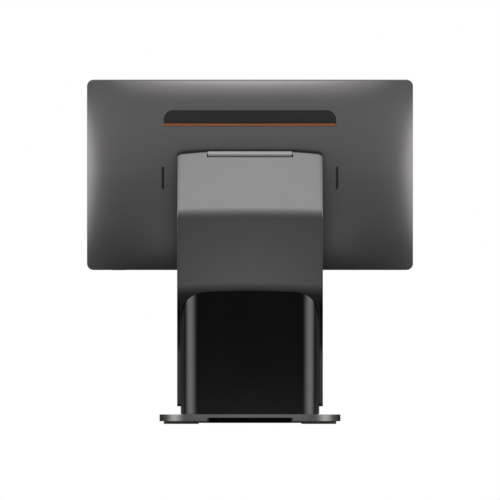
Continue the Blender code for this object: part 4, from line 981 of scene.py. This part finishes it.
class RearCoverOperator(bpy.types.Operator):
    """Domed rear cover with the window's pocket, two side slots darkened by black liners as painted shade,
    and the opening for the hinge
    """

    bl_idname = "counter.rear_cover"
    bl_label = "Rear cover"

    def execute(self, context):
        sizes = context.scene.display_sizes
        low, high = flat_box("rear_cover")
        rim_y = low.y + sizes.cover_rim
        inner_y = high.y - sizes.cover_wall
        cover = display_dome("back_shell", sizes)
        open_up(cover, lambda normal: normal.y < -NEARLY_PARALLEL, sizes.cover_wall)
        window_low, window_high = window_box("rear_strip", sizes)
        seat = Vector((window_low.x, rim_y + sizes.seat_depth, window_box("accent_strip", sizes)[0].z))
        around = (seat, Vector((window_high.x, 0, window_high.z)))
        pad = arched_box("window_pad", *grown(around, sizes.cover_wall), sizes.window_corner)
        combine(pad, display_dome("pad_limit", sizes, sizes.cover_wall / 2), "INTERSECT")
        combine(cover, pad, "UNION")
        pocket = spread(*grown(around, CLEARANCE), low_y=seat.y)
        tools = [arched_box("window_pocket", *pocket, sizes.window_corner + CLEARANCE)]
        for name, side in SIDES.items():
            place = (side * sizes.slot_place, 0, (low.z + high.z) / 2)
            opening = spread(*about(place, sizes.slot_width / 2, 0, sizes.slot_height / 2), low_y=rim_y)
            tools.append(rounded_box("side_slot", *opening, Y, sizes.slot_width / 2 - LEAST_RADIUS))
            # Painted shade: a black liner behind each slot keeps it dark
            mesh = spread(*grown(opening, sizes.slot_width), low_y=inner_y - sizes.liner_depth,
                          high_y=inner_y - NEAR)
            shade_liner = rounded_box("slot_shade_liner_" + name, *mesh, Y, OVERCUT)
            hand_over(shade_liner, "rubber", "display", slot="satin_black")
        half_width = sizes.barrel_length / 2 + OVERCUT
        half_height = sizes.web_depth / 2 + 2 * CLEARANCE
        front_y = flat_box("hinge_bracket")[1].y - sizes.cover_rise - OVERCUT
        opening = spread(*about(ORIGIN, half_width, 0, half_height), low_y=front_y)
        tools.append(rounded_box("hinge_opening", *opening, Y, OVERCUT))
        combine(cover, joined(tools))
        hand_over(cover, "gunmetal", "display", "rear_cover", crisp=False)
        return {"FINISHED"}


class WindowOperator(bpy.types.Operator):
    """Black window strip and the accent line under it, curved with the rear cover"""

    bl_idname = "counter.window"
    bl_label = "Window and accent line"

    def execute(self, context):
        sizes = context.scene.display_sizes
        strip = spread(*window_box("rear_strip", sizes), high_y=0)
        line = spread(*window_box("accent_strip", sizes), high_y=0)
        strip = arched_box("window_strip", *strip, sizes.window_corner)
        line = box("accent_line", *line)
        for piece, look, node, sink in ((strip, "satin_black", "rear_strip", sizes.window_sink),
                                        (line, "accent", "accent_strip", sizes.accent_sink)):
            combine(piece, display_dome("window_limit", sizes, sink), "INTERSECT")
            modify(piece, "BEVEL", width=sizes.small_edge, segments=RIM_SEGMENTS, limit_method="ANGLE",
                   angle_limit=SHARP_ANGLE)
            hand_over(piece, look, "display", node, crisp=False)
        return {"FINISHED"}


class FrontOperator(bpy.types.Operator):
    """Cover glass, the frame round the panel with its vents, and the power button"""

    bl_idname = "counter.front"
    bl_label = "Glass, frame and button"

    def execute(self, context):
        sizes = context.scene.display_sizes
        outer = flat_box("display_frame")
        pane = flat_box("cover_glass")
        button = flat_box("power_button")
        reveal = outer[1].x - pane[1].x
        glass = rounded_box("front_glass", *pane, Y, sizes.corner - reveal, sizes.glass_edge)
        hand_over(glass, "glass", "display", "cover_glass")
        panel = grown(flat_box("lcd_panel"), CLEARANCE, OVERCUT, CLEARANCE)
        rim = rounded_box("front_frame", *outer, Y, sizes.corner, sizes.small_edge)
        combine(rim, rounded_box("panel_window", *panel, Y, OVERCUT))
        tools = [box("button_slot", *spread(*grown(button, CLEARANCE), high_z=button[1].z + OVERCUT))]
        speaker_low, speaker_high = flat_box("speaker_right")
        vent_x = (speaker_low.x + speaker_high.x) / 2 - (speaker_high.x - speaker_low.x) / 4
        half = sizes.vent_width / 2
        for side in SIDES.values():
            for index in range(sizes.vent_count):
                x = side * vent_x + (index - (sizes.vent_count - 1) / 2) * sizes.vent_pitch
                vent_low = (x - half, outer[1].y - sizes.vent_depth, outer[0].z - OVERCUT)
                vent_high = (x + half, outer[1].y + OVERCUT, outer[0].z + sizes.vent_height)
                tools.append(box("speaker_vent", vent_low, vent_high))
        combine(rim, joined(tools))
        hand_over(rim, "satin_black", "display", "display_frame")
        key = soft_box("power_key", *button, sizes.small_edge)
        hand_over(key, "satin_black", "power_button", "power_button")
        return {"FINISHED"}


class SpeakersOperator(bpy.types.Operator):
    """Flat speaker modules above the frame's vents, each with two round cones"""

    bl_idname = "counter.speakers"
    bl_label = "Speakers"

    def execute(self, context):
        sizes = context.scene.display_sizes
        radius = sizes.cone_radius
        for side in SIDES:
            low, high = flat_box("speaker_" + side)
            high.y = low.y + sizes.speaker_depth
            module = rounded_box("speaker_module_" + side, low, high, Y, radius / 2, sizes.small_edge)
            middle = (low + high) / 2
            for way in SIDES.values():
                centre = (middle.x + way * (high.x - low.x) / 4, high.y, middle.z)
                well = round_bar("cone_well", *about(centre, radius, sizes.cone_sink, radius), Y)
                pick(well, "FACE", lambda normal: normal.y < -NEARLY_PARALLEL)
                bpy.ops.mesh.inset(thickness=radius / 2)
                bpy.ops.transform.translate(value=(0, sizes.cone_sink / 2, 0))
                mode("OBJECT")
                combine(module, well)
            hand_over(module, "satin_black", "display", "speaker_" + side)
        return {"FINISHED"}


class HingeOperator(bpy.types.Operator):
    """Hinge bracket with its barrel, the pin and the friction washers"""

    bl_idname = "counter.hinge"
    bl_label = "Hinge"

    def execute(self, context):
        sizes = context.scene.display_sizes
        bore = sizes.pin_radius + CLEARANCE
        self.make_bracket(sizes, bore, context.scene.base_sizes.screw_radius + CLEARANCE)
        pin = round_bar("tilt_pin", *self.on_axis("hinge_pin", sizes.pin_radius), X, sizes.small_edge)
        hand_over(pin, "steel", "stand", "hinge_pin")
        for side in SIDES:
            node = "friction_washer_" + side
            low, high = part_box(node)
            washer = round_bar("tilt_washer_" + side, *self.on_axis(node, (high.z - low.z) / 2), X)
            combine(washer, round_bar("washer_bore", *grown(self.on_axis(node, bore), OVERCUT, 0, 0), X))
            hand_over(washer, "black_steel", "stand", node)
        return {"FINISHED"}

    def make_bracket(self, sizes, bore, hole):
        """Flange, web and barrel, with the pin's bore and the screws' holes."""
        low, high = flat_box("hinge_bracket")
        radius = high.y
        half = sizes.barrel_length / 2
        flange = spread(low, high, high_y=low.y + sizes.flange_depth)
        bracket = rounded_box("tilt_bracket", *flange, Y, sizes.flange_corner, sizes.small_edge)
        half_web = half - sizes.web_setback
        web = spread(*about(ORIGIN, half_web, 0, sizes.web_depth / 2), low_y=low.y + sizes.flange_depth / 2,
                     high_y=-(bore + radius) / 2)
        combine(bracket, box("tilt_web", *web), "UNION")
        outer = radius + sizes.barrel_growth
        middle = self.beside_pin(-math.pi / 2, sizes.barrel_sag)
        barrel = round_bar("tilt_barrel", *about(middle, half, outer, outer), X, sizes.small_edge)
        swell = sizes.swell_radius
        middle = self.beside_pin(sizes.swell_lean, sizes.swell_depth - swell)
        combine(barrel, round_bar("barrel_swell", *about(middle, 2 * half, swell, swell), X), "INTERSECT")
        combine(bracket, barrel, "UNION")
        tools = [round_bar("pin_bore", *about(ORIGIN, half + OVERCUT, bore, bore), X)]
        for node in numbered("bracket_screw_", 4):
            corners = flat_box(node)
            past = (corners[1].y - corners[0].y) / 2
            tools.append(screw_hole(corners, Y, corners[0].y - past, corners[1].y + past, hole))
        combine(bracket, joined(tools))
        hand_over(bracket, "gunmetal", "display", "hinge_bracket")

    def beside_pin(self, elevation, distance):
        """Place beside the pin, in the upright display, whose way from the pin has an elevation at rest."""
        return Vector((0, math.cos(elevation + TILT), math.sin(elevation + TILT))) * distance

    def on_axis(self, node, radius):
        """Box of a round piece on the hinge's axis, with a radius."""
        low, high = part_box(node)
        return spread(*about(HINGE, 0, radius, radius), low_x=low.x, high_x=high.x)


def turns(points):
    """Each corner of a closed outline, with the ways in which the outline comes to it and leaves it."""
    for index, here in enumerate(points):
        following = points[(index + 1) % len(points)]
        yield here, (here - points[index - 1]).normalized(), (following - here).normalized()


def inset_outline(corners, distance):
    """Move every edge of a closed side outline inwards, and its round corners with it."""
    moved = []
    points = [Vector(corner[:2]) for corner in corners]
    for (here, arrive, leave), (_, _, radius) in zip(turns(points), corners):
        sideways = Vector((-arrive.y - leave.y, arrive.x + leave.x)) / (1 + arrive.dot(leave))
        place = here + sideways * distance
        if radius:
            radius = max(radius - math.copysign(distance, arrive.cross(leave)), LEAST_RADIUS)
        moved.append((place.x, place.y, radius))
    return moved


def extrude(step):
    """Extrude what is selected by a step."""
    bpy.ops.mesh.extrude_region_move(TRANSFORM_OT_translate={"value": step})


def trace(name, corners):
    """Draw a closed side outline at X 0 and fill it: straight runs are extruded and round corners spun."""
    points = [Vector((0, y, z)) for y, z, _ in corners]
    start = (points[-1] + points[0]) / 2
    piece = fresh(name, bpy.ops.mesh.primitive_plane_add, size=1, location=start)
    bake_place()
    mode("EDIT")
    bpy.ops.mesh.select_mode(type="VERT")
    bpy.ops.mesh.select_all(action="SELECT")
    bpy.ops.mesh.merge(type="CENTER")
    here = start
    for (corner, arrive, leave), (_, _, radius) in zip(turns(points), corners):
        turn = arrive.angle(leave)
        way = math.copysign(1, arrive.cross(leave).x)
        setback = radius * math.tan(turn / 2)
        bend = corner - arrive * setback
        extrude(bend - here)
        here = bend
        if radius:
            centre = bend + Vector((0, -arrive.z, arrive.y)) * way * radius
            steps = max(2, math.ceil(turn / ARC_STEP))
            bpy.ops.mesh.spin(steps=steps, angle=-way * turn, center=centre, axis=(1, 0, 0))
            here = corner + leave * setback
    extrude(start - here)
    bpy.ops.mesh.select_all(action="SELECT")
    bpy.ops.mesh.remove_doubles(threshold=NEAR / 10)
    bpy.ops.mesh.edge_face_add()
    return piece


def sweep(piece, stations):
    """Extrude a traced outline across, from station to station, and leave edit mode."""
    bpy.ops.transform.translate(value=(stations[0], 0, 0))
    for here, there in zip(stations, stations[1:]):
        extrude((there - here, 0, 0))
    point_outwards()
    return piece


def clamped(value):
    """Value kept between 0 and 1."""
    return min(max(value, 0), 1)


class NeckForm:
    """Side outline of the neck and leg, and the solids made from it."""

    def __init__(self, sizes):
        self.sizes = sizes
        low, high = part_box("neck_rear_cover")
        self.half_width = (high.x - low.x) / 2
        self.bottom_z = low.z
        self.leg_front = sizes.leg_back - sizes.leg_depth
        self.neck_front = HINGE.y - sizes.ear_radius
        self.brow_z = HINGE.z - sizes.brow_drop

    def slope_y(self, z, inset=0):
        """Depth of the upper slope at a height."""
        lean = self.sizes.upper_lean
        return HINGE.y + (self.sizes.ear_radius - inset - (z - HINGE.z) * math.sin(lean)) / math.cos(lean)

    def outline(self):
        """Corners of the side outline: leg, throat, brow, knee, top, nape and chin."""
        sizes = self.sizes
        back = sizes.leg_back
        knee_z = HINGE.z - sizes.knee_drop
        knee_y = self.slope_y(knee_z)
        brow_y = knee_y - (knee_z - self.brow_z) * math.tan(sizes.lower_lean)
        throat_z = self.brow_z - (brow_y - back) / math.tan(sizes.under_lean)
        apex_z = HINGE.z + sizes.ear_radius * (1 + math.cos(sizes.upper_lean)) / math.sin(sizes.upper_lean)
        return [(self.leg_front, self.bottom_z, sizes.leg_corner), (back, self.bottom_z, sizes.leg_corner),
                (back, throat_z, sizes.throat_radius), (brow_y, self.brow_z, sizes.brow_radius),
                (knee_y, knee_z, sizes.knee_radius), (self.neck_front, apex_z, sizes.ear_radius),
                (self.neck_front, HINGE.z - sizes.nape_drop, sizes.front_radius),
                (self.leg_front, HINGE.z - sizes.chin_drop, sizes.front_radius)]

    def solid(self, name, corners, half_width, edge):
        """Sweep an outline across the neck, round its side edges and let its top fall towards the sides."""
        sizes = self.sizes
        inner = half_width - sizes.corner_reach
        stations = [inner * (2 * index / CROWN_STATIONS - 1) for index in range(CROWN_STATIONS + 1)]
        piece = sweep(trace(name, corners), [-half_width, *stations, half_width])
        if edge:
            round_edges(piece, lies_at(X, -half_width, half_width), edge, 2 * RIM_SEGMENTS)
        for vertex in piece.data.vertices:
            x, _, z = vertex.co
            near_top = clamped(1 + (z - HINGE.z) / sizes.crown_fade)
            near_brow = max(1 - ((z - self.brow_z) / sizes.bow_reach) ** 2, 0) ** 2
            fall = (near_top * sizes.crown_drop + near_brow * sizes.brow_bow) * (x / self.half_width) ** 2
            if edge:
                past = clamped((abs(x) - inner) / sizes.corner_reach)
                near_end = clamped(1 + (z - HINGE.z) / sizes.bridge_depth)
                fall += near_end * sizes.corner_fall * (1 - math.sqrt(1 - past ** 2))
            vertex.co.z -= fall
        return piece

    def body(self, name, grow=0):
        """Outer form of the neck and leg."""
        return self.solid(name, inset_outline(self.outline(), -grow), self.half_width + grow, self.sizes.edge)

    def hollow(self, name):
        """Inside of the neck and leg, closed at the top below the hinge."""
        wall = self.sizes.wall
        top_z = HINGE.z - self.sizes.bridge_depth
        inner = inset_outline(self.outline(), wall)
        top = [(self.slope_y(top_z, wall), top_z, OVERCUT), (self.neck_front + wall, top_z, OVERCUT)]
        return self.solid(name, inner[:5] + top + inner[6:], self.half_width - wall, 0)

    def seam(self, name, grow):
        """Region in front of the seam between the two halves."""
        depth = self.sizes.seam_depth
        inner = inset_outline(self.outline(), depth)
        ahead_y = self.leg_front - depth
        below_z = self.bottom_z - depth
        top_z = HINGE.z - self.sizes.bridge_depth - self.sizes.crown_drop - CLEARANCE
        corners = [(ahead_y, below_z, 0), (self.leg_front + depth, below_z, 0), inner[7], inner[6],
                   (self.neck_front + depth, top_z, 0), (ahead_y, top_z, 0)]
        return sweep(trace(name, inset_outline(corners, -grow)), [-2 * self.half_width, 2 * self.half_width])

    def tabs(self, grow, root_y):
        """Tabs of the cable cover, or the slots that take them."""
        sizes = self.sizes
        low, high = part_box("cable_cover")
        thin, tall = sizes.tab_depth / 2, sizes.tab_height / 2
        middle_x = high.x - (sizes.cover_wall - sizes.tab_depth) / 2 - thin
        boxes = []
        for side in SIDES.values():
            for rise in (sizes.tab_rise, sizes.tab_rise + sizes.tab_pitch):
                corners = about((side * middle_x, 0, low.z + rise), thin + grow, 0, tall + grow)
                tip_y = sizes.leg_back - sizes.tab_reach
                boxes.append(box("tab", *spread(*corners, low_y=tip_y, high_y=root_y)))
        return joined(boxes)


class NeckOperator(bpy.types.Operator):
    """Front and rear halves of the hollow neck, with the hinge's notch, and the collar under the leg"""

    bl_idname = "counter.neck"
    bl_label = "Neck and collar"

    def execute(self, context):
        sizes = context.scene.stand_sizes
        form = NeckForm(sizes)
        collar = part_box("leg_pedestal")
        wall = sizes.pedestal_wall
        opening = grown(collar, -wall, -wall, 2 * OVERCUT + sizes.wall)
        front = form.body("neck_front_half")
        rear = form.body("neck_rear_half")
        for half in (front, rear):
            combine(half, form.hollow("neck_hollow"))
            combine(half, rounded_box("leg_opening", *opening, Z, OVERCUT))
        combine(front, form.seam("front_region", 0), "INTERSECT")
        combine(rear, form.seam("front_cut", SEAM_GAP))
        self.cut_hinge(rear, form, context.scene.display_sizes.pin_radius + CLEARANCE)
        combine(rear, form.tabs(CLEARANCE, sizes.leg_back + sizes.tab_reach))
        hole = context.scene.base_sizes.screw_radius + CLEARANCE
        tools = []
        for name, axis in (("io_screw_", Y), ("neck_screw_", Z)):
            for corners in map(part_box, numbered(name, 2)):
                start, stop = corners[0][axis] - CLEARANCE, corners[1][axis] + CLEARANCE
                tools.append(screw_hole(corners, axis, start, stop, hole))
        combine(rear, joined(tools))
        hand_over(front, "neck_grey", "stand", "neck_front_cover", crisp=False)
        hand_over(rear, "neck_grey", "stand", "neck_rear_cover", crisp=False)
        collar = spread(*collar, low_z=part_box("base_plate")[1].z, high_z=form.bottom_z)
        ring = rounded_box("leg_collar", *collar, Z, wall + OVERCUT)
        combine(ring, rounded_box("collar_opening", *opening, Z, OVERCUT))
        hand_over(ring, "satin_black", "stand", "leg_pedestal")
        return {"FINISHED"}

    def cut_hinge(self, rear, form, bore):
        """Cut the notch of the barrel, the groove under it and the bore of the pin."""
        sizes = form.sizes
        washer_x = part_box("friction_washer_right")[1].x + CLEARANCE
        notch_z = HINGE.z - sizes.notch_depth
        notch_low = (-washer_x, form.neck_front - OVERCUT, notch_z)
        notch_high = (washer_x, form.slope_y(notch_z) + OVERCUT, HINGE.z + 2 * sizes.ear_radius)
        combine(rear, box("hinge_notch", notch_low, notch_high))
        groove = sizes.groove_radius
        combine(rear, round_bar("hinge_groove", *about(HINGE, washer_x, groove, groove), X))
        pin_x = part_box("hinge_pin")[1].x + CLEARANCE
        combine(rear, round_bar("pin_bore", *about(HINGE, pin_x, bore, bore), X))


class CableCoverOperator(bpy.types.Operator):
    """Gloss black cover behind the leg, trimmed to the neck, with its tabs"""

    bl_idname = "counter.cable_cover"
    bl_label = "Cable cover"

    def execute(self, context):
        sizes = context.scene.stand_sizes
        form = NeckForm(sizes)
        front_y = sizes.leg_back + SEAM_GAP
        low, high = spread(*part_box("cable_cover"), low_y=front_y, high_z=form.brow_z)
        shell = box("cable_shell", low, high)
        round_edges(shell, passes(runs_along(Z), lies_at(Y, high.y)), sizes.cover_corner, BROAD_SEGMENTS)
        open_up(shell, lambda normal: max(abs(normal.z), -normal.y) > NEARLY_PARALLEL, sizes.cover_wall)
        combine(shell, form.body("neck_trim", SEAM_GAP))
        combine(shell, form.tabs(0, front_y + sizes.cover_wall), "UNION")
        hand_over(shell, "gloss_black", "cable_cover", "cable_cover", crisp=False)
        return {"FINISHED"}


class BaseOperator(bpy.types.Operator):
    """Base plate with its cable well and exit, the ballast under it and the rubber feet"""

    bl_idname = "counter.base"
    bl_label = "Base, ballast and feet"

    def execute(self, context):
        sizes = context.scene.base_sizes
        hole = sizes.screw_radius + CLEARANCE
        self.make_plate(sizes, context.scene.stand_sizes, hole)
        self.make_ballast(sizes, hole)
        for name in FEET:
            self.make_foot(name, sizes)
        return {"FINISHED"}

    def make_plate(self, sizes, stand, hole):
        """Base plate, hollow below, with the way of the cables cut through it."""
        low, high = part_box("base_plate")
        pan = spread(*grown(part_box("ballast_plate"), CLEARANCE), low_z=low.z - OVERCUT)
        ceiling = pan[1].z - OVERCUT
        plate = rounded_box("foot_plate", low, high, Z, sizes.corner, sizes.edge, BROAD_SEGMENTS)
        combine(plate, rounded_box("pan", *pan, Z, sizes.corner - sizes.rim, segments=BROAD_SEGMENTS))
        half = sizes.exit_width / 2
        exit_low = (-half, high.y - sizes.rim - OVERCUT, low.z - OVERCUT)
        exit_high = (half, high.y + OVERCUT, low.z + sizes.exit_height)
        combine(plate, arched_box("cable_exit", exit_low, exit_high, sizes.exit_corner))
        half = sizes.well_width / 2
        well_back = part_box("cable_cover")[1].y - stand.cover_wall - sizes.well_margin / 2
        well_low = (-half, stand.leg_back + sizes.well_margin, ceiling)
        well_high = (half, well_back, high.z + OVERCUT)
        tools = [rounded_box("cable_well", well_low, well_high, Z, sizes.well_margin / 2)]
        for corners in map(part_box, numbered("foot_screw_", 2) + numbered("ballast_screw_", 4)):
            tools.append(screw_hole(corners, Z, ceiling, corners[1].z + CLEARANCE, hole))
        combine(plate, joined(tools))
        hand_over(plate, "base_grey", "stand", "base_plate")

    def make_ballast(self, sizes, hole):
        """Steel ballast with the cable channel, and recesses for the screws and feet."""
        low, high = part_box("ballast_plate")
        seat_z = low.z
        low.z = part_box("base_plate")[0].z - sizes.ballast_drop
        corner = sizes.corner - sizes.rim - CLEARANCE
        plate = rounded_box("ballast_slab", low, high, Z, corner, sizes.edge / 2, BROAD_SEGMENTS)
        under, over = low.z - OVERCUT, high.z + OVERCUT
        half = sizes.channel_width / 2
        tools = [box("cable_channel", (-half, sizes.channel_front, under), (half, high.y + OVERCUT, over))]
        head_tools = []
        for corners in map(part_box, numbered("ballast_screw_", 4)):
            head = (corners[1].x - corners[0].x) / 2 + CLEARANCE
            head_z = corners[0].z + sizes.screw_head + CLEARANCE
            tools.append(screw_hole(corners, Z, under, over, hole))
            head_tools.append(screw_hole(corners, Z, under, head_z, head))
        for name in FEET:
            recess = spread(*grown(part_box("foot_" + name), CLEARANCE), high_z=seat_z)
            tools.append(round_bar("foot_recess", *recess, Z))
        combine(plate, joined(tools))
        combine(plate, joined(head_tools))
        hand_over(plate, "black_steel", "stand", "ballast_plate", crisp=False)

    def make_foot(self, name, sizes):
        """Round rubber foot that stands on a ring."""
        low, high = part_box("foot_" + name)
        foot = round_bar("rubber_" + name, low, high, Z)
        round_edges(foot, lies_at(Z, low.z), sizes.foot_chamfer)
        pick(foot, "FACE", lambda normal: normal.z < -NEARLY_PARALLEL)
        bpy.ops.mesh.inset(thickness=sizes.foot_ring)
        bpy.ops.mesh.inset(thickness=sizes.foot_hollow)
        bpy.ops.transform.translate(value=(0, 0, sizes.foot_hollow))
        mode("OBJECT")
        hand_over(foot, "rubber", "stand", "foot_" + name)


class SocketsOperator(bpy.types.Operator):
    """Sockets behind the cable cover, with their tongues, pin and gilt contacts"""

    bl_idname = "counter.sockets"
    bl_label = "Sockets"

    def execute(self, context):
        wall = context.scene.base_sizes.socket_wall
        contacts = []
        for number in numbered("", 4):
            contacts += self.make_usb(number, wall)
        for jack in JACKS:
            contacts += self.make_jack(*jack, wall)
        self.make_power_socket(wall)
        rails = joined(contacts)
        rails.name = "socket_contacts"
        hand_over(rails, "contact", "stand")
        return {"FINISHED"}

    def start(self, node, name, size, wall):
        """Block of a socket, its middle on its lower face, and the corners of the mouth in that face."""
        low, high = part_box(node)
        block = rounded_box(name, low, high, Z, wall, CLEARANCE / 2)
        middle = spread((low + high) / 2, high, low_z=low.z)[0]
        mouth = about(middle, size[X] / 2, size[Y] / 2, 0)
        return block, middle, spread(*mouth, low_z=low.z - OVERCUT, high_z=low.z + size[Z])

    def make_usb(self, number, wall):
        """Flat socket with a tongue and four contacts."""
        node = "usb_port_" + number
        shell, middle, mouth = self.start(node, "usb_socket_" + number, USB_MOUTH, wall)
        combine(shell, rounded_box("usb_mouth", *mouth, Z, wall / 2))
        hand_over(shell, "steel", "stand", node)
        face_y = middle.y + TONGUE_SETBACK
        low_z = middle.z + TONGUE_RISE
        high_z = mouth[1].z - LEAST_RADIUS
        tongue = soft_box("usb_tongue_" + number, (mouth[0].x + TONGUE_MARGIN, face_y, low_z),
                          (mouth[1].x - TONGUE_MARGIN, face_y + TONGUE_DEPTH, high_z), CLEARANCE / 2)
        hand_over(tongue, "insert", "stand")
        contacts = []
        for place in STRIP_PLACES:
            x = middle.x + place
            strip_low = (x - STRIP_HALF_WIDTH, face_y - STRIP_DEPTH, low_z + STRIP_START)
            strip_high = (x + STRIP_HALF_WIDTH, face_y - LEAST_RADIUS / 10, high_z - STRIP_STOP)
            contacts.append(soft_box("usb_contact", strip_low, strip_high, LEAST_RADIUS / 2))
        return contacts

    def make_jack(self, node, name, look, size, count, wall):
        """Deep socket with a latch groove and a row of sprung contacts."""
        shell, middle, mouth = self.start(node, name, size, wall)
        combine(shell, box("socket_mouth", *mouth))
        groove_low = (middle.x - size[X] / 4, mouth[1].y - OVERCUT, mouth[0].z)
        groove_high = (middle.x + size[X] / 4, mouth[1].y + LATCH_DEPTH, mouth[1].z - LATCH_STOP)
        combine(shell, box("latch_groove", groove_low, groove_high))
        hand_over(shell, look, "stand", node)
        contacts = []
        for index in range(count):
            x = middle.x + (index - (count - 1) / 2) * WIRE_PITCH
            wire_low = (x - WIRE_HALF_WIDTH, mouth[0].y + LEAST_RADIUS / 10, middle.z + WIRE_RISE)
            wire_high = (x + WIRE_HALF_WIDTH, mouth[0].y + WIRE_DEPTH, mouth[1].z - LEAST_RADIUS)
            contacts.append(soft_box("socket_wire", wire_low, wire_high, LEAST_RADIUS))
        return contacts

    def make_power_socket(self, wall):
        """Round power socket with a centre pin."""
        shell, middle, mouth = self.start("power_jack", "power_socket", POWER_MOUTH, wall)
        combine(shell, round_bar("power_mouth", *mouth, Z))
        hand_over(shell, "satin_black", "stand", "power_jack")
        corners = spread(*about(middle, POWER_PIN_RADIUS, POWER_PIN_RADIUS, 0),
                         low_z=middle.z + POWER_PIN_RISE, high_z=mouth[1].z - LEAST_RADIUS)
        hand_over(round_bar("power_pin", *corners, Z, CLEARANCE), "steel", "stand")


class ScrewsOperator(bpy.types.Operator):
    """Pan-head screws of the base, the spine and the connector board"""

    bl_idname = "counter.screws"
    bl_label = "Screws"

    def execute(self, context):
        sizes = context.scene.base_sizes
        for name, count, axis, head_high, look in SCREWS:
            for node in numbered(name + "_screw_", count):
                self.make_screw(node, axis, head_high, look, sizes)
        return {"FINISHED"}

    def make_screw(self, node, axis, head_high, look, sizes):
        """Screw with a soft head and a cross, in place of its solid."""
        low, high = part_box(node)
        middle = (low + high) / 2
        head = [low.copy(), high.copy()]
        shank = list(about(middle, *(sizes.screw_radius,) * 3))
        shank[0][axis] = low[axis]
        shank[1][axis] = high[axis]
        face, inwards = (high[axis], -1) if head_high else (low[axis], 1)
        head[0 if head_high else 1][axis] = face + inwards * sizes.screw_head
        shank[1 if head_high else 0][axis] = face + inwards * sizes.screw_head / 2
        screw = round_bar(node + "_pan", *head, axis, CLEARANCE)
        combine(screw, round_bar("shank", *shank, axis), "UNION")
        middle[axis] = face
        for across in {X, Y, Z} - {axis}:
            arm = Vector((sizes.cross_width / 2,) * 3)
            arm[across] = sizes.cross_reach / 2
            arm[axis] = sizes.screw_head / 2
            combine(screw, box("cross", *about(middle, *arm)))
        hand_over(screw, look, "stand", node)


class InnerPartsOperator(bpy.types.Operator):
    """Finishes of the plates, boards and other inner parts whose solids are shown as they are"""

    bl_idname = "counter.inner_parts"
    bl_label = "Inner parts"

    def execute(self, context):
        screws = numbered("bracket_screw_", 4) + numbered("board_screw_", 4)
        looks = {
            "steel": ["chassis_plate", "stand_spine", *screws],
            "board": ["mainboard", "io_board"],
            "aluminium": ["heat_sink"],
            "satin_black": ["lcd_panel"],
        }
        for look, nodes in looks.items():
            for node in nodes:
                materials = frame["nodes"][node].data.materials
                materials.clear()
                materials.append(finish(look))
        return {"FINISHED"}


OPERATORS = (StudioOperator, RearCoverOperator, WindowOperator, FrontOperator, SpeakersOperator,
             HingeOperator, NeckOperator, CableCoverOperator, BaseOperator, SocketsOperator,
             ScrewsOperator, InnerPartsOperator)
GROUPS = {
    "display_sizes": DisplaySizes,
    "stand_sizes": StandSizes,
    "base_sizes": BaseSizes,
    "finish_colours": FinishColours,
    "studio_settings": StudioSettings,
}


class CounterPanel(bpy.types.Panel):
    """Sidebar page that lists the steps and their sizes"""

    bl_idname = "VIEW3D_PT_counter_computer"
    bl_label = "Counter computer"
    bl_space_type = "VIEW_3D"
    bl_region_type = "UI"
    bl_category = "Counter"

    def draw(self, context):
        for operator in OPERATORS:
            self.layout.operator(operator.bl_idname)
        for name, group in GROUPS.items():
            column = self.layout.column(heading=group.__name__)
            for key in group.__annotations__:
                column.prop(getattr(context.scene, name), key)


def register():
    """Add the sizes, the steps and the sidebar page to Blender."""
    for name, group in GROUPS.items():
        bpy.utils.register_class(group)
        setattr(bpy.types.Scene, name, bpy.props.PointerProperty(type=group))
    for operator in OPERATORS:
        bpy.utils.register_class(operator)
    bpy.utils.register_class(CounterPanel)


def unregister():
    """Take the sizes, the steps and the sidebar page out of Blender."""
    bpy.utils.unregister_class(CounterPanel)
    for operator in reversed(OPERATORS):
        bpy.utils.unregister_class(operator)
    for name, group in GROUPS.items():
        delattr(bpy.types.Scene, name)
        bpy.utils.unregister_class(group)


def main():
    """Model and finish the whole object."""
    register()
    bpy.ops.counter.studio()
    bpy.ops.counter.rear_cover()
    bpy.ops.counter.window()
    bpy.ops.counter.front()
    bpy.ops.counter.speakers()
    bpy.ops.counter.hinge()
    bpy.ops.counter.neck()
    bpy.ops.counter.cable_cover()
    bpy.ops.counter.base()
    bpy.ops.counter.sockets()
    bpy.ops.counter.screws()
    bpy.ops.counter.inner_parts()


if __name__ == "__main__":
    main()
